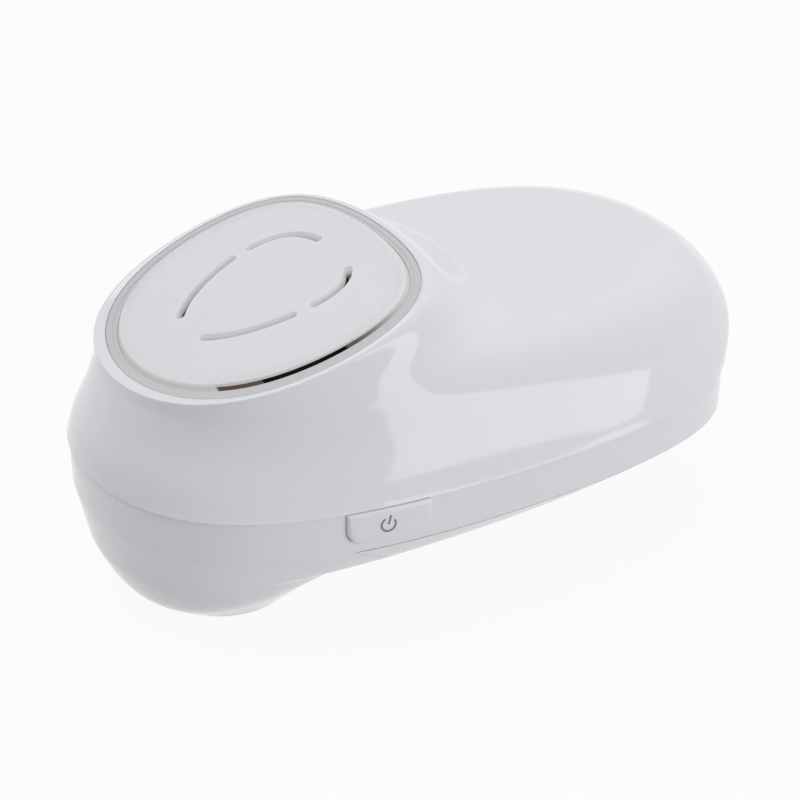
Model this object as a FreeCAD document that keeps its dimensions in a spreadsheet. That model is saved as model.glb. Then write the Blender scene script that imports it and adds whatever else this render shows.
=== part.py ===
"""Hand-held fetal doppler monitor: probe head, speaker pod and battery tail in one moulded case.

Millimetres. The origin is the centre of the transducer face, with +Z up through the probe head, +X towards the
battery tail and the power button on the -Y side. The two case halves meet on a level parting line.
"""
import FreeCAD, Part
import math
import os
import re
import Sketcher
from FreeCAD import Placement, Rotation, Vector

DOC = FreeCAD.newDocument("FetalDoppler")

# ---------------------------------------------------------------- driving sizes

SIZES = [
    # the two case halves, measured from the axis of the probe head and from the parting line
    ("seam_height", 30.3, "transducer face to the parting line"),
    ("head_front", 25.6, "probe axis to the front of the parting line"),
    ("tail_rear", 103.0, "probe axis to the rear of the parting line"),
    ("widest_station", 44.5, "probe axis to the widest part of the parting line"),
    ("half_width", 39.3, "half the width at the parting line"),
    ("seam_fullness", 0.045, "how square the parting line is, 0 for an ellipse"),
    ("shell_wall", 2.0, "wall of both case halves"),
    ("seam_step", 0.3, "how far the upper half overhangs the band at the parting line"),
    ("band_height", 8.0, "upright band below the parting line"),
    ("band_taper", 0.4, "how far the band leans in at its lower edge"),
    ("floor_wall", 1.6, "floor over the battery door"),
    ("probe_radius", 13.3, "flat end of the probe head"),
    ("face_stand", 0.3, "how far the transducer face stands below the probe head"),
    # speaker pod, measured in the tilted plane of the light ring
    ("ring_tilt", 16.6, "tilt of the ring plane in degrees, rear side high"),
    ("ring_height", 24.4, "parting line to the ring plane at the probe axis"),
    ("ring_front", 18.9, "probe axis to the front of the ring"),
    ("ring_rear", 35.6, "probe axis to the rear of the ring"),
    ("ring_widest", 13.0, "probe axis to the widest part of the ring"),
    ("ring_half", 28.8, "half the width of the ring"),
    ("ring_fullness", 0.023, "how square the ring is"),
    ("ring_width", 1.7, "radial width of the light ring"),
    ("ring_depth", 2.2, "depth of the recess that holds the light ring"),
    ("ring_sink", 0.5, "how far the light ring lies below the lip"),
    ("lip_width", 0.8, "case lip outside the ring"),
    ("ring_slack", 0.1, "clearance round the ring and its seat"),
    ("disc_gap", 1.15, "sound gap between ring and disc"),
    ("disc_wall", 1.6, "thickness of the speaker disc"),
    ("disc_rise", 0.5, "how far the rim of the disc stands above the ring"),
    ("dome_radius", 1200.0, "radius of the slightly domed disc"),
    ("disc_edge", 0.35, "rounding of the rim of the disc"),
    ("slot_front", 5.74, "probe axis to the front of the slot path"),
    ("slot_rear", 25.8, "probe axis to the rear of the slot path"),
    ("slot_widest", 15.0, "probe axis to the widest part of the slot path"),
    ("slot_half", 12.7, "half the width of the slot path"),
    ("slot_width", 1.5, "width of a sound slot"),
    ("seat_flange", 0.8, "flange of the seat under the ring"),
    ("ledge_wall", 1.5, "thickness of the case ledge under the seat"),
    ("seat_rim", 1.2, "rim wall of the seat"),
    ("seat_depth", 6.5, "ring plane to the underside of the seat"),
    ("seat_plate", 1.5, "plate of the seat"),
    ("seat_post", 1.5, "radius of the posts under the disc"),
    ("vent_front", 2.7, "probe axis to the front of the sound vents"),
    ("vent_length", 15.0, "length of a sound vent"),
    ("speaker_station", 8.4, "probe axis to the loudspeaker, in the ring plane"),
    ("speaker_radius", 18.0, "outer radius of the loudspeaker"),
    ("speaker_rim", 1.5, "glued rim of the loudspeaker"),
    ("speaker_depth", 5.0, "rim to the back plate of the loudspeaker"),
    ("magnet_radius", 10.0, "radius of the loudspeaker magnet"),
    ("magnet_depth", 4.0, "depth of the loudspeaker magnet"),
    ("gasket_wall", 0.5, "foam gasket of the loudspeaker"),
    ("led_height", 0.8, "height of a light-emitting diode"),
    ("led_length", 3.0, "length of a light-emitting diode"),
    ("led_width", 1.2, "width of a light-emitting diode"),
    # circuit board
    ("board_wall", 1.6, "thickness of the circuit board"),
    ("board_drop", 1.0, "underside of the board below the parting line"),
    ("board_margin", 4.5, "parting line to the edge of the board"),
    ("board_rear", 27.0, "probe axis to the rear edge of the board"),
    ("post_radius", 2.8, "radius of the posts under the board"),
    ("post_front", 12.0, "probe axis to the front posts"),
    ("post_rear", 22.0, "probe axis to the rear posts"),
    ("post_spread", 15.5, "centre line to the posts"),
    ("board_screw_radius", 0.9, "radius of a board screw"),
    ("board_screw_length", 7.0, "length of a board screw under its head"),
    # power button on the left side
    ("button_station", 13.85, "probe axis to the middle of the button"),
    ("button_length", 15.3, "length of the button"),
    ("button_height", 6.0, "height of the button"),
    ("button_corner", 2.6, "lower corners of the button"),
    ("button_proud", 0.6, "how far the button stands out of the case"),
    ("button_wall", 2.0, "thickness of the button"),
    ("button_slack", 0.2, "clearance round the button"),
    ("button_travel", 0.6, "travel of the button"),
    ("button_flange", 1.3, "how far the hidden flange reaches past the button"),
    ("flange_wall", 0.9, "thickness of the hidden flange"),
    ("switch_inset", 6.6, "parting line to the face of the switch"),
    ("switch_length", 6.2, "length of the switch"),
    ("switch_depth", 3.6, "depth of the switch"),
    ("switch_height", 4.0, "height of the switch"),
    ("plunger_radius", 1.2, "radius of the switch plunger"),
    ("plunger_out", 1.2, "how far the plunger stands out of the switch"),
    # volume wheel and headphone jack on the right side
    ("wheel_station", 4.0, "probe axis to the volume wheel"),
    ("wheel_proud", 1.55, "how far the volume wheel stands out of the parting line"),
    ("wheel_radius", 8.6, "radius of the volume wheel"),
    ("wheel_wall", 2.6, "thickness of the volume wheel"),
    ("wheel_drop", 2.1, "parting line to the top of the volume wheel"),
    ("wheel_slack", 0.4, "clearance round the volume wheel"),
    ("shaft_radius", 2.0, "radius of the wheel's shaft"),
    ("shaft_slack", 0.03, "running clearance of the wheel on its shaft"),
    ("jack_station", 20.5, "probe axis to the headphone jack"),
    ("jack_bore", 1.8, "radius of the headphone socket"),
    ("jack_depth", 12.0, "depth of the headphone socket"),
    ("jack_nose", 2.4, "radius of the nose of the jack"),
    ("jack_width", 7.0, "width of the jack"),
    ("jack_height", 5.0, "height of the jack"),
    ("jack_slack", 0.2, "clearance round the nose of the jack"),
    # transducer in the probe head
    ("face_radius", 11.5, "radius of the transducer window"),
    ("face_wall", 2.0, "thickness of the transducer face"),
    ("face_flange", 12.9, "radius of the flange and cup behind the face"),
    ("face_slack", 0.1, "clearance round the transducer face"),
    ("seal_wall", 0.3, "seal under the flange of the face"),
    ("crystal_radius", 9.0, "radius of the pair of crystals"),
    ("crystal_wall", 1.0, "thickness of the crystals"),
    ("crystal_gap", 1.2, "gap between the two crystals"),
    ("backing_depth", 6.0, "depth of the damping block"),
    ("cup_wall", 1.2, "wall of the transducer cup"),
    ("cup_depth", 9.5, "depth of the transducer cup"),
    ("collar_wall", 1.3, "collar round the transducer cup"),
    # battery and its door
    ("door_radius", 36.0, "curved front edge of the door, round the probe axis"),
    ("door_gap", 0.3, "gap round the door"),
    ("door_tray", 10.3, "parting line to the inside of the door"),
    ("door_wall", 1.6, "wall and ribs of the door"),
    ("door_travel", 8.0, "how far the door slides to come free"),
    ("hook_front", 50.0, "probe axis to the front hooks"),
    ("hook_rear", 78.0, "probe axis to the rear hooks"),
    ("hook_spread", 21.0, "centre line to the hooks"),
    ("hook_stem", 2.0, "width of a hook's stem"),
    ("hook_head", 4.0, "width of a hook's head"),
    ("hook_length", 4.0, "length of a hook"),
    ("grip_station", 89.0, "probe axis to the middle of the thumb grip on the door"),
    ("grip_pitch", 3.2, "distance between two ridges of the thumb grip"),
    ("grip_width", 1.4, "width of a ridge"),
    ("grip_length", 20.0, "length of a ridge"),
    ("grip_proud", 0.5, "how far a ridge stands out of the door at its middle"),
    ("bay_front", 38.0, "probe axis to the front of the battery bay"),
    ("bay_wall", 1.5, "wall of the battery bay"),
    ("bay_slack", 0.3, "clearance round the battery"),
    ("battery_length", 46.5, "length of the battery case"),
    ("battery_width", 26.5, "width of the battery"),
    ("battery_height", 17.5, "height of the battery"),
    ("battery_front", 46.5, "probe axis to the front of the battery case"),
    ("battery_drop", 9.5, "parting line to the underside of the battery"),
    ("terminal_spacing", 12.7, "spacing of the battery's terminals"),
    ("terminal_reach", 2.9, "length of the battery's terminals"),
    ("stud_radius", 2.9, "radius of the battery's stud"),
    ("socket_radius", 3.8, "radius of the battery's socket"),
    ("snap_depth", 5.1, "depth of the battery snap"),
    ("pad_wall", 0.7, "foam pad on the door"),
    # case screws
    ("screw_front", 32.0, "probe axis to the front case screws"),
    ("screw_front_inset", 8.0, "parting line to the front case screws"),
    ("screw_rear", 68.0, "probe axis to the rear case screws"),
    ("screw_rear_inset", 10.0, "parting line to the rear case screws"),
    ("screw_radius", 1.25, "radius of a case screw"),
    ("screw_head", 2.6, "radius of a case screw's head"),
    ("screw_head_depth", 2.0, "depth of a case screw's head"),
    ("screw_seat", 4.0, "parting line to the seat of a case screw's head"),
    ("screw_reach", 8.0, "how far a case screw reaches above the parting line"),
    ("boss_radius", 3.4, "radius of a screw boss"),
]

SHEET = DOC.addObject("Spreadsheet::Sheet", "Sizes")
for row, (alias, value, meaning) in enumerate(SIZES, start=1):
    SHEET.set("A%d" % row, meaning)
    SHEET.set("B%d" % row, str(value))
    SHEET.setAlias("B%d" % row, alias)
DOC.recompute()
ALIASES = {alias for alias, value, meaning in SIZES}


def size(alias):
    """The value of one named size."""
    return float(SHEET.get(alias))


def derive(alias, value, meaning):
    """Keep a size that follows from others in the sheet, for the formulas that use it."""
    row = len(ALIASES) + 1
    SHEET.set("A%d" % row, meaning)
    SHEET.set("B%d" % row, "%.6f" % value)
    SHEET.setAlias("B%d" % row, alias)
    ALIASES.add(alias)
    DOC.recompute()


# ---------------------------------------------------------------- document helpers


def bind(thing, prop, formula):
    """Tie a property to a formula of named sizes."""
    linked = re.sub(r"[a-z_]+", lambda word: "Sizes." + word[0] if word[0] in ALIASES else word[0], formula)
    thing.setExpression(prop, linked)


def place(thing, x, y, z):
    """Tie the position of an object to three formulas."""
    for axis, formula in (("x", x), ("y", y), ("z", z)):
        bind(thing, "Placement.Base." + axis, formula)


def block(label, length, width, height, x, y, z):
    """A box centred on x and y that stands on z."""
    box = DOC.addObject("Part::Box", label)
    for prop, formula in (("Length", length), ("Width", width), ("Height", height)):
        bind(box, prop, formula)
    place(box, "%s - (%s) / 2" % (x, length), "%s - (%s) / 2" % (y, width), z)
    return box


def rod(label, radius, height, x, y, z, axis=(0, 0, 1)):
    """A cylinder that starts at a point and runs along an axis."""
    cylinder = DOC.addObject("Part::Cylinder", label)
    cylinder.Placement = Placement(Vector(), Rotation(Vector(0, 0, 1), Vector(*axis)))
    bind(cylinder, "Radius", radius)
    bind(cylinder, "Height", height)
    place(cylinder, x, y, z)
    return cylinder


def solid(label, shape):
    """A piece whose shape is worked out from the sizes by a formula."""
    feature = DOC.addObject("Part::Feature", label)
    feature.Shape = shape
    return feature


def fuse(label, *pieces):
    """One solid out of several."""
    joined = DOC.addObject("Part::MultiFuse", label)
    joined.Shapes = list(pieces)
    joined.Refine = True
    return joined


def group(label, *pieces):
    """Several separate solids in one node."""
    compound = DOC.addObject("Part::Compound", label)
    compound.Links = list(pieces)
    return compound


def cut(label, base, *tools):
    """A solid with others taken out of it."""
    result = DOC.addObject("Part::Cut", label)
    result.Base = base
    result.Tool = tools[0] if len(tools) == 1 else fuse(label + "_tools", *tools)
    return result


def turned(label, profile, x="0", y="0", z="0"):
    """A body turned round its own Z axis, from the radius and height of each corner of its profile."""
    body = DOC.addObject("PartDesign::Body", label)
    sketch = body.newObject("Sketcher::SketchObject", label + "_profile")
    plane = [item for item in body.Origin.OriginFeatures if item.Role == "XZ_Plane"][0]
    sketch.AttachmentSupport = [(plane, "")]
    sketch.MapMode = "FlatFace"
    count = len(profile)
    rough = [Vector(5 + 4 * math.cos(2 * math.pi * i / count), 5 + 4 * math.sin(2 * math.pi * i / count), 0)
             for i in range(count)]
    for i in range(count):
        sketch.addGeometry(Part.LineSegment(rough[i], rough[(i + 1) % count]), False)
    for i in range(count):
        sketch.addConstraint(Sketcher.Constraint("Coincident", i, 2, (i + 1) % count, 1))
    for i, (radius, height) in enumerate(profile):
        for kind, formula, axis in (("DistanceX", radius, -2), ("DistanceY", height, -1)):
            if formula == "0":
                sketch.addConstraint(Sketcher.Constraint("PointOnObject", i, 1, axis))
            else:
                start = rough[i].x if kind == "DistanceX" else rough[i].y
                index = sketch.addConstraint(Sketcher.Constraint(kind, -1, 1, i, 1, start))
                bind(sketch, "Constraints[%d]" % index, formula)
    turn = body.newObject("PartDesign::Revolution", label + "_turn")
    turn.Profile = sketch
    turn.ReferenceAxis = (sketch, ["V_Axis"])
    turn.Angle = 360
    place(body, x, y, z)
    return body


def tilt(feature, depth=0.0):
    """Put a piece that is drawn in the ring's own plane in its tilted place."""
    feature.Placement = ring_plane().multiply(Placement(Vector(0, 0, -depth), Rotation()))
    return feature


def ring_plane():
    """The tilted plane of the light ring."""
    origin = Vector(0, 0, size("seam_height") + size("ring_height"))
    return Placement(origin, Rotation(Vector(0, 1, 0), -size("ring_tilt")))


# ---------------------------------------------------------------- the moulded form

# Each moulded half is lofted through closed level curves. A curve is given by three stations on the centre line
# and side (front, widest, rear), its half width, the heights at the same three stations, and its fullness.


def between(angle, front, side, rear, fullness=0.0):
    """Value at an angle round a level curve: rear at 0, side at a quarter turn, front at half a turn."""
    reach = (rear - front) / 2
    skew = ((rear + front) / 2 - side) / 2
    middle = ((rear + front) / 2 + side) / 2
    swing = (math.cos(angle) - fullness * math.cos(3 * angle)) / (1 - fullness)
    return middle + reach * swing + skew * math.cos(2 * angle)


def level_point(angle, level):
    """A point of a level curve."""
    stations, half, heights, fullness = level
    spread = half * (math.sin(angle) + fullness * math.sin(3 * angle)) / (1 - fullness)
    return Vector(between(angle, *stations, fullness), spread, between(angle, *heights, fullness))


def level_wire(level, count=24):
    """A level curve as one smooth closed wire."""
    curve = Part.BSplineCurve()
    points = [level_point(2 * math.pi * i / count, level) for i in range(count)]
    curve.interpolate(Points=points, PeriodicFlag=True)
    return Part.Wire(curve.toShape())


def grown(level, by):
    """A level curve with its outline moved out by an amount, or in if that is negative."""
    (front, side, rear), half, heights, fullness = level
    return ((front - by, side, rear + by), half + by, heights, fullness)


def prism(level, bottom, top):
    """The upright solid inside a flat level curve."""
    (stations, half, heights, fullness) = level
    wire = level_wire((stations, half, (bottom, bottom, bottom), fullness))
    return Part.Face(wire).extrude(Vector(0, 0, top - bottom))


def seam_level():
    """The parting line."""
    height = size("seam_height")
    stations = (-size("head_front"), size("widest_station"), size("tail_rear"))
    return (stations, size("half_width"), (height, height, height), size("seam_fullness"))


def seam_reach(station):
    """Half width of the parting line at a station."""
    behind, ahead = 0.0, math.pi
    for _ in range(50):
        angle = (behind + ahead) / 2
        if level_point(angle, seam_level()).x > station:
            behind = angle
        else:
            ahead = angle
    return level_point(behind, seam_level()).y


def derive_places():
    """What sits along the case wall keeps its distance from the parting line."""
    derive("wheel_centre", seam_reach(size("wheel_station")) + size("wheel_proud") - size("wheel_radius"),
           "centre line to the axis of the volume wheel")
    derive("switch_face", seam_reach(size("button_station")) - size("switch_inset"),
           "centre line to the face of the switch")
    derive("screw_front_spread", seam_reach(size("screw_front")) - size("screw_front_inset"),
           "centre line to the front case screws")
    derive("screw_rear_spread", seam_reach(size("screw_rear")) - size("screw_rear_inset"),
           "centre line to the rear case screws")


def band_level():
    """The upper edge of the upright band, which the upper half overhangs."""
    return grown(seam_level(), -size("seam_step"))


def crease_level():
    """The lower edge of the upright band."""
    stations, half, heights, fullness = grown(seam_level(), -size("band_taper"))
    height = size("seam_height") - size("band_height")
    return (stations, half, (height, height, height), fullness)


def probe_level():
    """The flat round end of the probe head."""
    radius = size("probe_radius")
    height = size("face_stand")
    return ((-radius, 0.0, radius), radius, (height, height, height), 0.0)


def ring_level(by=0.0):
    """The outline of the light ring in its own plane, moved out by an amount."""
    stations = (-size("ring_front"), size("ring_widest"), size("ring_rear"))
    return grown((stations, size("ring_half"), (0.0, 0.0, 0.0), size("ring_fullness")), by)


def lip_level(by):
    """The outline of the ring moved out by an amount, in its tilted place."""
    stations, half, heights, fullness = ring_level(by)
    lean = math.radians(size("ring_tilt"))
    base = size("seam_height") + size("ring_height")
    flat = tuple(x * math.cos(lean) for x in stations)
    return (flat, half, tuple(base + x * math.sin(lean) for x in stations), fullness)


# How far each level lies between the first and the last one: front, widest and rear stations, half width,
# and the heights at the front, side and rear, then its fullness.
POD_AND_TAIL = (
    ((0.10, -0.03, -0.045), 0.113, (0.27, 0.195, 0.19), 0.035),
    ((0.40, -0.01, -0.01), 0.278, (0.53, 0.39, 0.41), 0.030),
    ((0.67, 0.11, 0.11), 0.454, (0.74, 0.555, 0.615), 0.030),
    ((0.84, 0.45, 0.44), 0.69, (0.87, 0.69, 0.70), 0.030),
    ((0.96, 0.89, 0.83), 0.918, (0.95, 0.87, 0.75), 0.025),
)
BELLY_AND_BULB = (
    ((0.07, 0.10, 0.06), 0.14, (0.22, 0.17, 0.19), 0.040),
    ((0.20, 0.62, 0.41), 0.41, (0.50, 0.33, 0.25), 0.020),
    ((0.48, 0.87, 0.75), 0.61, (0.77, 0.55, 0.38), 0.010),
)


def form(first, last, shares):
    """All the level curves of one moulded half."""
    levels = [first]
    for stations, half, heights, fullness in shares:
        station = tuple(a + (b - a) * s for a, b, s in zip(first[0], last[0], stations))
        height = tuple(a + (b - a) * s for a, b, s in zip(first[2], last[2], heights))
        levels.append((station, first[1] + (last[1] - first[1]) * half, height, fullness))
    return levels + [last]


def inward(profile, index, wall, hand):
    """A profile point moved in by the wall, square to the profile; hand is +1 or -1."""
    before = profile[max(index - 1, 0)]
    after = profile[min(index + 1, len(profile) - 1)]
    along = (after[0] - before[0], after[1] - before[1])
    scale = hand * wall / math.hypot(*along)
    return (profile[index][0] + along[1] * scale, profile[index][1] - along[0] * scale)


def lining(levels, wall, hand):
    """The level curves of the inner surface, a wall's thickness inside the outer ones."""
    front = [(level[0][0], level[2][0]) for level in levels]
    side = [(level[1], level[2][1]) for level in levels]
    rear = [(level[0][2], level[2][2]) for level in levels]
    inner = []
    for i, (stations, half, heights, fullness) in enumerate(levels):
        front_x, front_z = inward(front, i, wall, hand)
        side_y, side_z = inward(side, i, wall, -hand)
        rear_x, rear_z = inward(rear, i, wall, -hand)
        inner.append(((front_x, stations[1], rear_x), side_y, (front_z, side_z, rear_z), fullness))
    return inner


def loft(levels):
    """A closed solid through level curves."""
    return Part.makeLoft([level_wire(level) for level in levels], True, False)


def upper_form():
    """The outside of the upper half."""
    return form(seam_level(), lip_level(size("lip_width")), POD_AND_TAIL)


def lower_form():
    """The outside of the lower half below its band."""
    return form(crease_level(), probe_level(), BELLY_AND_BULB)


# ---------------------------------------------------------------- case screws and posts


def mirrored(x, spread):
    """A place on each side of the centre line."""
    return [(x, -spread), (x, spread)]


def screw_places():
    """The four case screws."""
    front = mirrored(size("screw_front"), size("screw_front_spread"))
    return front + mirrored(size("screw_rear"), size("screw_rear_spread"))


def post_places():
    """The four posts that carry the circuit board."""
    return mirrored(-size("post_front"), size("post_spread")) + mirrored(size("post_rear"), size("post_spread"))


def upright(radius, bottom, top, x=0.0, y=0.0):
    """A plain upright cylinder between two heights."""
    return Part.makeCylinder(radius, top - bottom, Vector(x, y, bottom))


# ---------------------------------------------------------------- the two case halves


def make_upper_shell():
    """The upper half: hollow, with the recess for the light ring and four screw bosses."""
    seam = size("seam_height")
    wall = size("shell_wall")
    outside = loft(upper_form())
    inner = lining(upper_form(), wall, 1)
    inner[0] = grown(seam_level(), -wall)
    inner[-1] = lip_level(size("lip_width") - wall)
    cavity = loft(inner)
    for x, y in screw_places():
        cavity = cavity.cut(upright(size("boss_radius"), seam, seam + size("ring_height"), x, y))
    # the ledge that the seat of the speaker disc lies on
    ledge_top = -size("ring_depth") - size("seat_flange")
    clear_of_rim = ring_level(size("ring_slack") - size("ring_width"))
    ledge = prism(ring_level(2 * wall), ledge_top - size("ledge_wall"), ledge_top)
    ledge = ledge.cut(prism(clear_of_rim, ledge_top - size("ledge_wall") - 1, ledge_top + 1))
    ledge.Placement = ring_plane()
    cavity = cavity.cut(ledge)
    recess = prism(ring_level(size("ring_slack")), -size("ring_depth") - size("seat_flange"), size("lip_width"))
    recess.Placement = ring_plane()
    shell = outside.cut(cavity).cut(recess)
    for x, y in screw_places():
        shell = shell.cut(upright(size("screw_radius"), seam, seam + size("screw_reach") + 1, x, y))
    solid("upper_shell", shell.removeSplitter())


def make_lower_outside():
    """The outside of the whole lower half: the band, the belly and the probe head."""
    band = loft([band_level(), crease_level()])
    return band.fuse(loft(lower_form()))


def bulb_zone(radius, bottom, top):
    """An upright cylinder round the probe axis, which parts the probe head from the battery door."""
    return upright(radius, bottom, top)


def hook_places():
    """The four hooks of the battery door."""
    spread = size("hook_spread")
    return mirrored(size("hook_front"), spread) + mirrored(size("hook_rear"), spread)


def bay_box(grow, bottom, top):
    """The battery bay, grown on its four sides."""
    rear = size("battery_front") + size("battery_length") + size("bay_slack")
    half = size("battery_width") / 2 + size("bay_slack") + grow
    length = rear - size("bay_front") + 2 * grow
    return Part.makeBox(length, 2 * half, top - bottom, Vector(size("bay_front") - grow, -half, bottom))


def button_window(grow, bottom, top):
    """The opening of the power button, grown all round except at its upper edge, with rounded lower corners."""
    length = size("button_length") + 2 * grow
    start = size("button_station") - length / 2
    outer = size("half_width") + 5
    window = Part.makeBox(length, outer - size("switch_face"), top - bottom, Vector(start, -outer, bottom))
    lower = [edge for edge in window.Edges
             if abs(edge.CenterOfMass.z - bottom) < 1e-6 and abs(edge.tangentAt(edge.FirstParameter).y) > 0.9]
    return window.makeFillet(size("button_corner") + grow, lower)


def make_lower_shell():
    """The lower half: band, probe head and battery bay, with posts, bosses, hook slots and side openings."""
    seam = size("seam_height")
    wall = size("shell_wall")
    crease = seam - size("band_height")
    floor = crease + size("floor_wall")
    door = size("door_radius")
    outside = make_lower_outside()
    # what the battery door takes over
    belly = Part.makeBox(300, 200, crease, Vector(-150, -100, 0)).cut(bulb_zone(door, -1, seam))
    outside = outside.cut(belly)
    # the hollow: a flat pan over the door and the inside of the probe head
    pan_level = grown(seam_level(), -wall - size("button_slack"))
    slab = Part.makeBox(300, 200, floor - crease + 1, Vector(-150, -100, crease - 1))
    pan = prism(pan_level, crease, seam).cut(slab.cut(bulb_zone(door - wall, 0, seam)))
    inner = lining(lower_form(), wall, -1)
    inner[0] = (pan_level[0], pan_level[1], (crease, crease, crease), pan_level[3])
    inner[-1] = (inner[-1][0], inner[-1][1], (wall, wall, wall), 0.0)
    head = loft(inner).common(bulb_zone(door - wall, 0, seam))
    hollow = pan.fuse(head)
    bosses = [upright(size("boss_radius"), crease, seam, x, y) for x, y in screw_places()]
    bosses += [upright(size("post_radius"), wall, seam - size("board_drop"), x, y) for x, y in post_places()]
    collar = upright(size("face_flange") + size("face_slack") + size("collar_wall"), wall, wall + size("cup_depth") - 2)
    bosses.append(collar)
    roof = seam - size("battery_drop") + size("battery_height") + size("bay_slack")
    bay = bay_box(size("bay_wall"), crease, roof + size("bay_wall"))
    for piece in bosses + [bay]:
        hollow = hollow.cut(piece)
    shell = outside.cut(hollow).fuse(bay)
    openings = [bay_box(0, crease - 1, roof)]
    for x, y in screw_places():
        openings.append(upright(size("screw_radius") + 0.35, crease - 1, seam + 1, x, y))
        openings.append(upright(size("screw_head") + 0.3, crease - 1, seam - size("screw_seat"), x, y))
    for x, y in post_places():
        top = seam - size("board_drop")
        openings.append(upright(size("board_screw_radius"), top - size("board_screw_length"), top + 1, x, y))
    for x, y in hook_places():
        openings += hook_slot(x, y, crease, floor)
    openings.append(upright(size("face_radius") + size("face_slack"), -1, wall + 1))
    openings.append(upright(size("face_flange") + size("face_slack"), wall, wall + size("cup_depth")))
    openings.append(button_window(size("button_slack"), seam - size("button_height") - size("button_slack"), seam + 1))
    wheel = upright(size("wheel_radius") + size("wheel_slack"), wheel_bottom() - size("wheel_slack"),
                    seam - size("wheel_drop") + size("wheel_slack"), size("wheel_station"), size("wheel_centre"))
    openings.append(wheel)
    nose = Part.makeCylinder(size("jack_nose") + size("jack_slack"), size("half_width"),
                             Vector(size("jack_station"), size("switch_face"), jack_height()), Vector(0, 1, 0))
    openings.append(nose)
    for opening in openings:
        shell = shell.cut(opening)
    solid("lower_shell", shell)


def hook_slot(x, y, bottom, top):
    """A keyhole slot: narrow where the hook holds, wide where it comes free."""
    gap = size("door_gap")
    travel = size("door_travel")
    half = size("hook_length") / 2
    narrow = Part.makeBox(2 * half + travel + gap, size("hook_stem") + 2 * gap, top - bottom + 2,
                          Vector(x - half - gap, y - size("hook_stem") / 2 - gap, bottom - 1))
    wide = Part.makeBox(2 * half + 2 * gap, size("hook_head") + 2 * gap, top - bottom + 2,
                        Vector(x + travel - half - gap, y - size("hook_head") / 2 - gap, bottom - 1))
    return [narrow, wide]


def lower_lining(wall):
    """The inside of the belly and the probe head, with flat ends."""
    inner = lining(lower_form(), wall, -1)
    top = size("seam_height") - size("band_height")
    bottom = size("face_stand") + wall
    first = (inner[0][0], inner[0][1], (top, top, top), inner[0][3])
    last = (inner[-1][0], inner[-1][1], (bottom, bottom, bottom), 0.0)
    return loft([first] + inner[1:-1] + [last])


def grip_ridges(outside):
    """Three straight ridges across the belly of the tail, to push the door with a thumb."""
    width = size("grip_width")
    length = size("grip_length")
    ridges = []
    for i in (-1, 0, 1):
        x = size("grip_station") + i * size("grip_pitch")
        column = Part.makeBox(width, length, size("seam_height"), Vector(x - width / 2, -length / 2, 0))
        under = outside.common(column).optimalBoundingBox(False, False)
        top = under.ZMax - size("door_wall") / 2
        bottom = under.ZMin - size("grip_proud")
        ridge = Part.makeBox(width, length, top - bottom, Vector(x - width / 2, -length / 2, bottom))
        lower = [edge for edge in ridge.Edges
                 if abs(edge.CenterOfMass.z - bottom) < 1e-6 and abs(edge.tangentAt(edge.FirstParameter).y) > 0.9]
        ridges.append(ridge.makeFillet(width * 0.35, lower))
    return ridges


def make_battery_door():
    """The sliding belly of the tail, thin-walled with ribs and hooks, and the foam pad inside."""
    seam = size("seam_height")
    crease = seam - size("band_height")
    top = crease - size("door_gap")
    tray = seam - size("door_tray")
    wall = size("door_wall")
    front = size("door_radius") + size("door_gap")
    zone = Part.makeBox(300, 200, top, Vector(-150, -100, 0)).cut(bulb_zone(front, -1, seam))
    outside = loft(lower_form()).common(zone)
    hollow = lower_lining(wall).cut(bulb_zone(front + wall, -1, seam))
    # ribs across under the hooks and the battery, and two along
    for x in (size("hook_front"), (size("hook_front") + size("hook_rear")) / 2, size("hook_rear")):
        hollow = hollow.cut(Part.makeBox(wall, 200, tray, Vector(x - wall / 2, -100, 0)))
    for y in (-size("hook_spread") / 2, size("hook_spread") / 2):
        hollow = hollow.cut(Part.makeBox(300, wall, tray, Vector(0, y - wall / 2, 0)))
    # each hook stands on a stem that grows out of the floor of the door
    length = size("hook_length")
    stem = size("hook_stem")
    head = size("hook_head")
    catch = crease + size("floor_wall") + size("door_gap")
    for x, y in hook_places():
        hollow = hollow.cut(Part.makeBox(length, stem, seam, Vector(x - length / 2, y - stem / 2, 0)))
    door = outside.cut(hollow)
    for x, y in hook_places():
        hook = Part.makeBox(length, stem, catch - tray, Vector(x - length / 2, y - stem / 2, tray))
        hook = hook.fuse(Part.makeBox(length, head, size("floor_wall"), Vector(x - length / 2, y - head / 2, catch)))
        door = door.fuse(hook)
    for ridge in grip_ridges(outside):
        door = door.fuse(ridge.cut(hollow))
    solid("battery_door", door)
    block("door_pad", "battery_length * 2 / 3", "battery_width * 2 / 3", "pad_wall",
          "battery_front + battery_length / 2", "0", "seam_height - door_tray")


# ---------------------------------------------------------------- speaker pod


def make_light_ring():
    """The translucent ring that frames the speaker disc, with pockets over its diodes."""
    depth = size("ring_depth")
    ring = prism(ring_level(), -depth, -size("ring_sink")).cut(prism(ring_level(-size("ring_width")), -depth - 1, 1))
    for pocket in led_boxes(0.2):
        ring = ring.cut(pocket)
    tilt(solid("light_ring", ring))


def led_boxes(slack):
    """The diodes on the seat's flange, under the middle of the ring."""
    middle = ring_level(-size("ring_width") / 2)
    boxes = []
    for quarter in range(4):
        centre = level_point(quarter * math.pi / 2, middle)
        along = size("led_length") + 2 * slack
        across = size("led_width") + 2 * slack
        x, y = (across, along) if quarter % 2 == 0 else (along, across)
        corner = Vector(centre.x - x / 2, centre.y - y / 2, -size("ring_depth"))
        boxes.append(Part.makeBox(x, y, size("led_height") + slack, corner))
    return boxes


def make_leds():
    """Four diodes that light the ring."""
    tilt(solid("ring_leds", Part.makeCompound(led_boxes(0.0))))


def slot_path(by):
    """The rounded path of the sound slots, moved out by an amount."""
    stations = (-size("slot_front"), size("slot_widest"), size("slot_rear"))
    return grown((stations, size("slot_half"), (0.0, 0.0, 0.0), 0.0), by)


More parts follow.
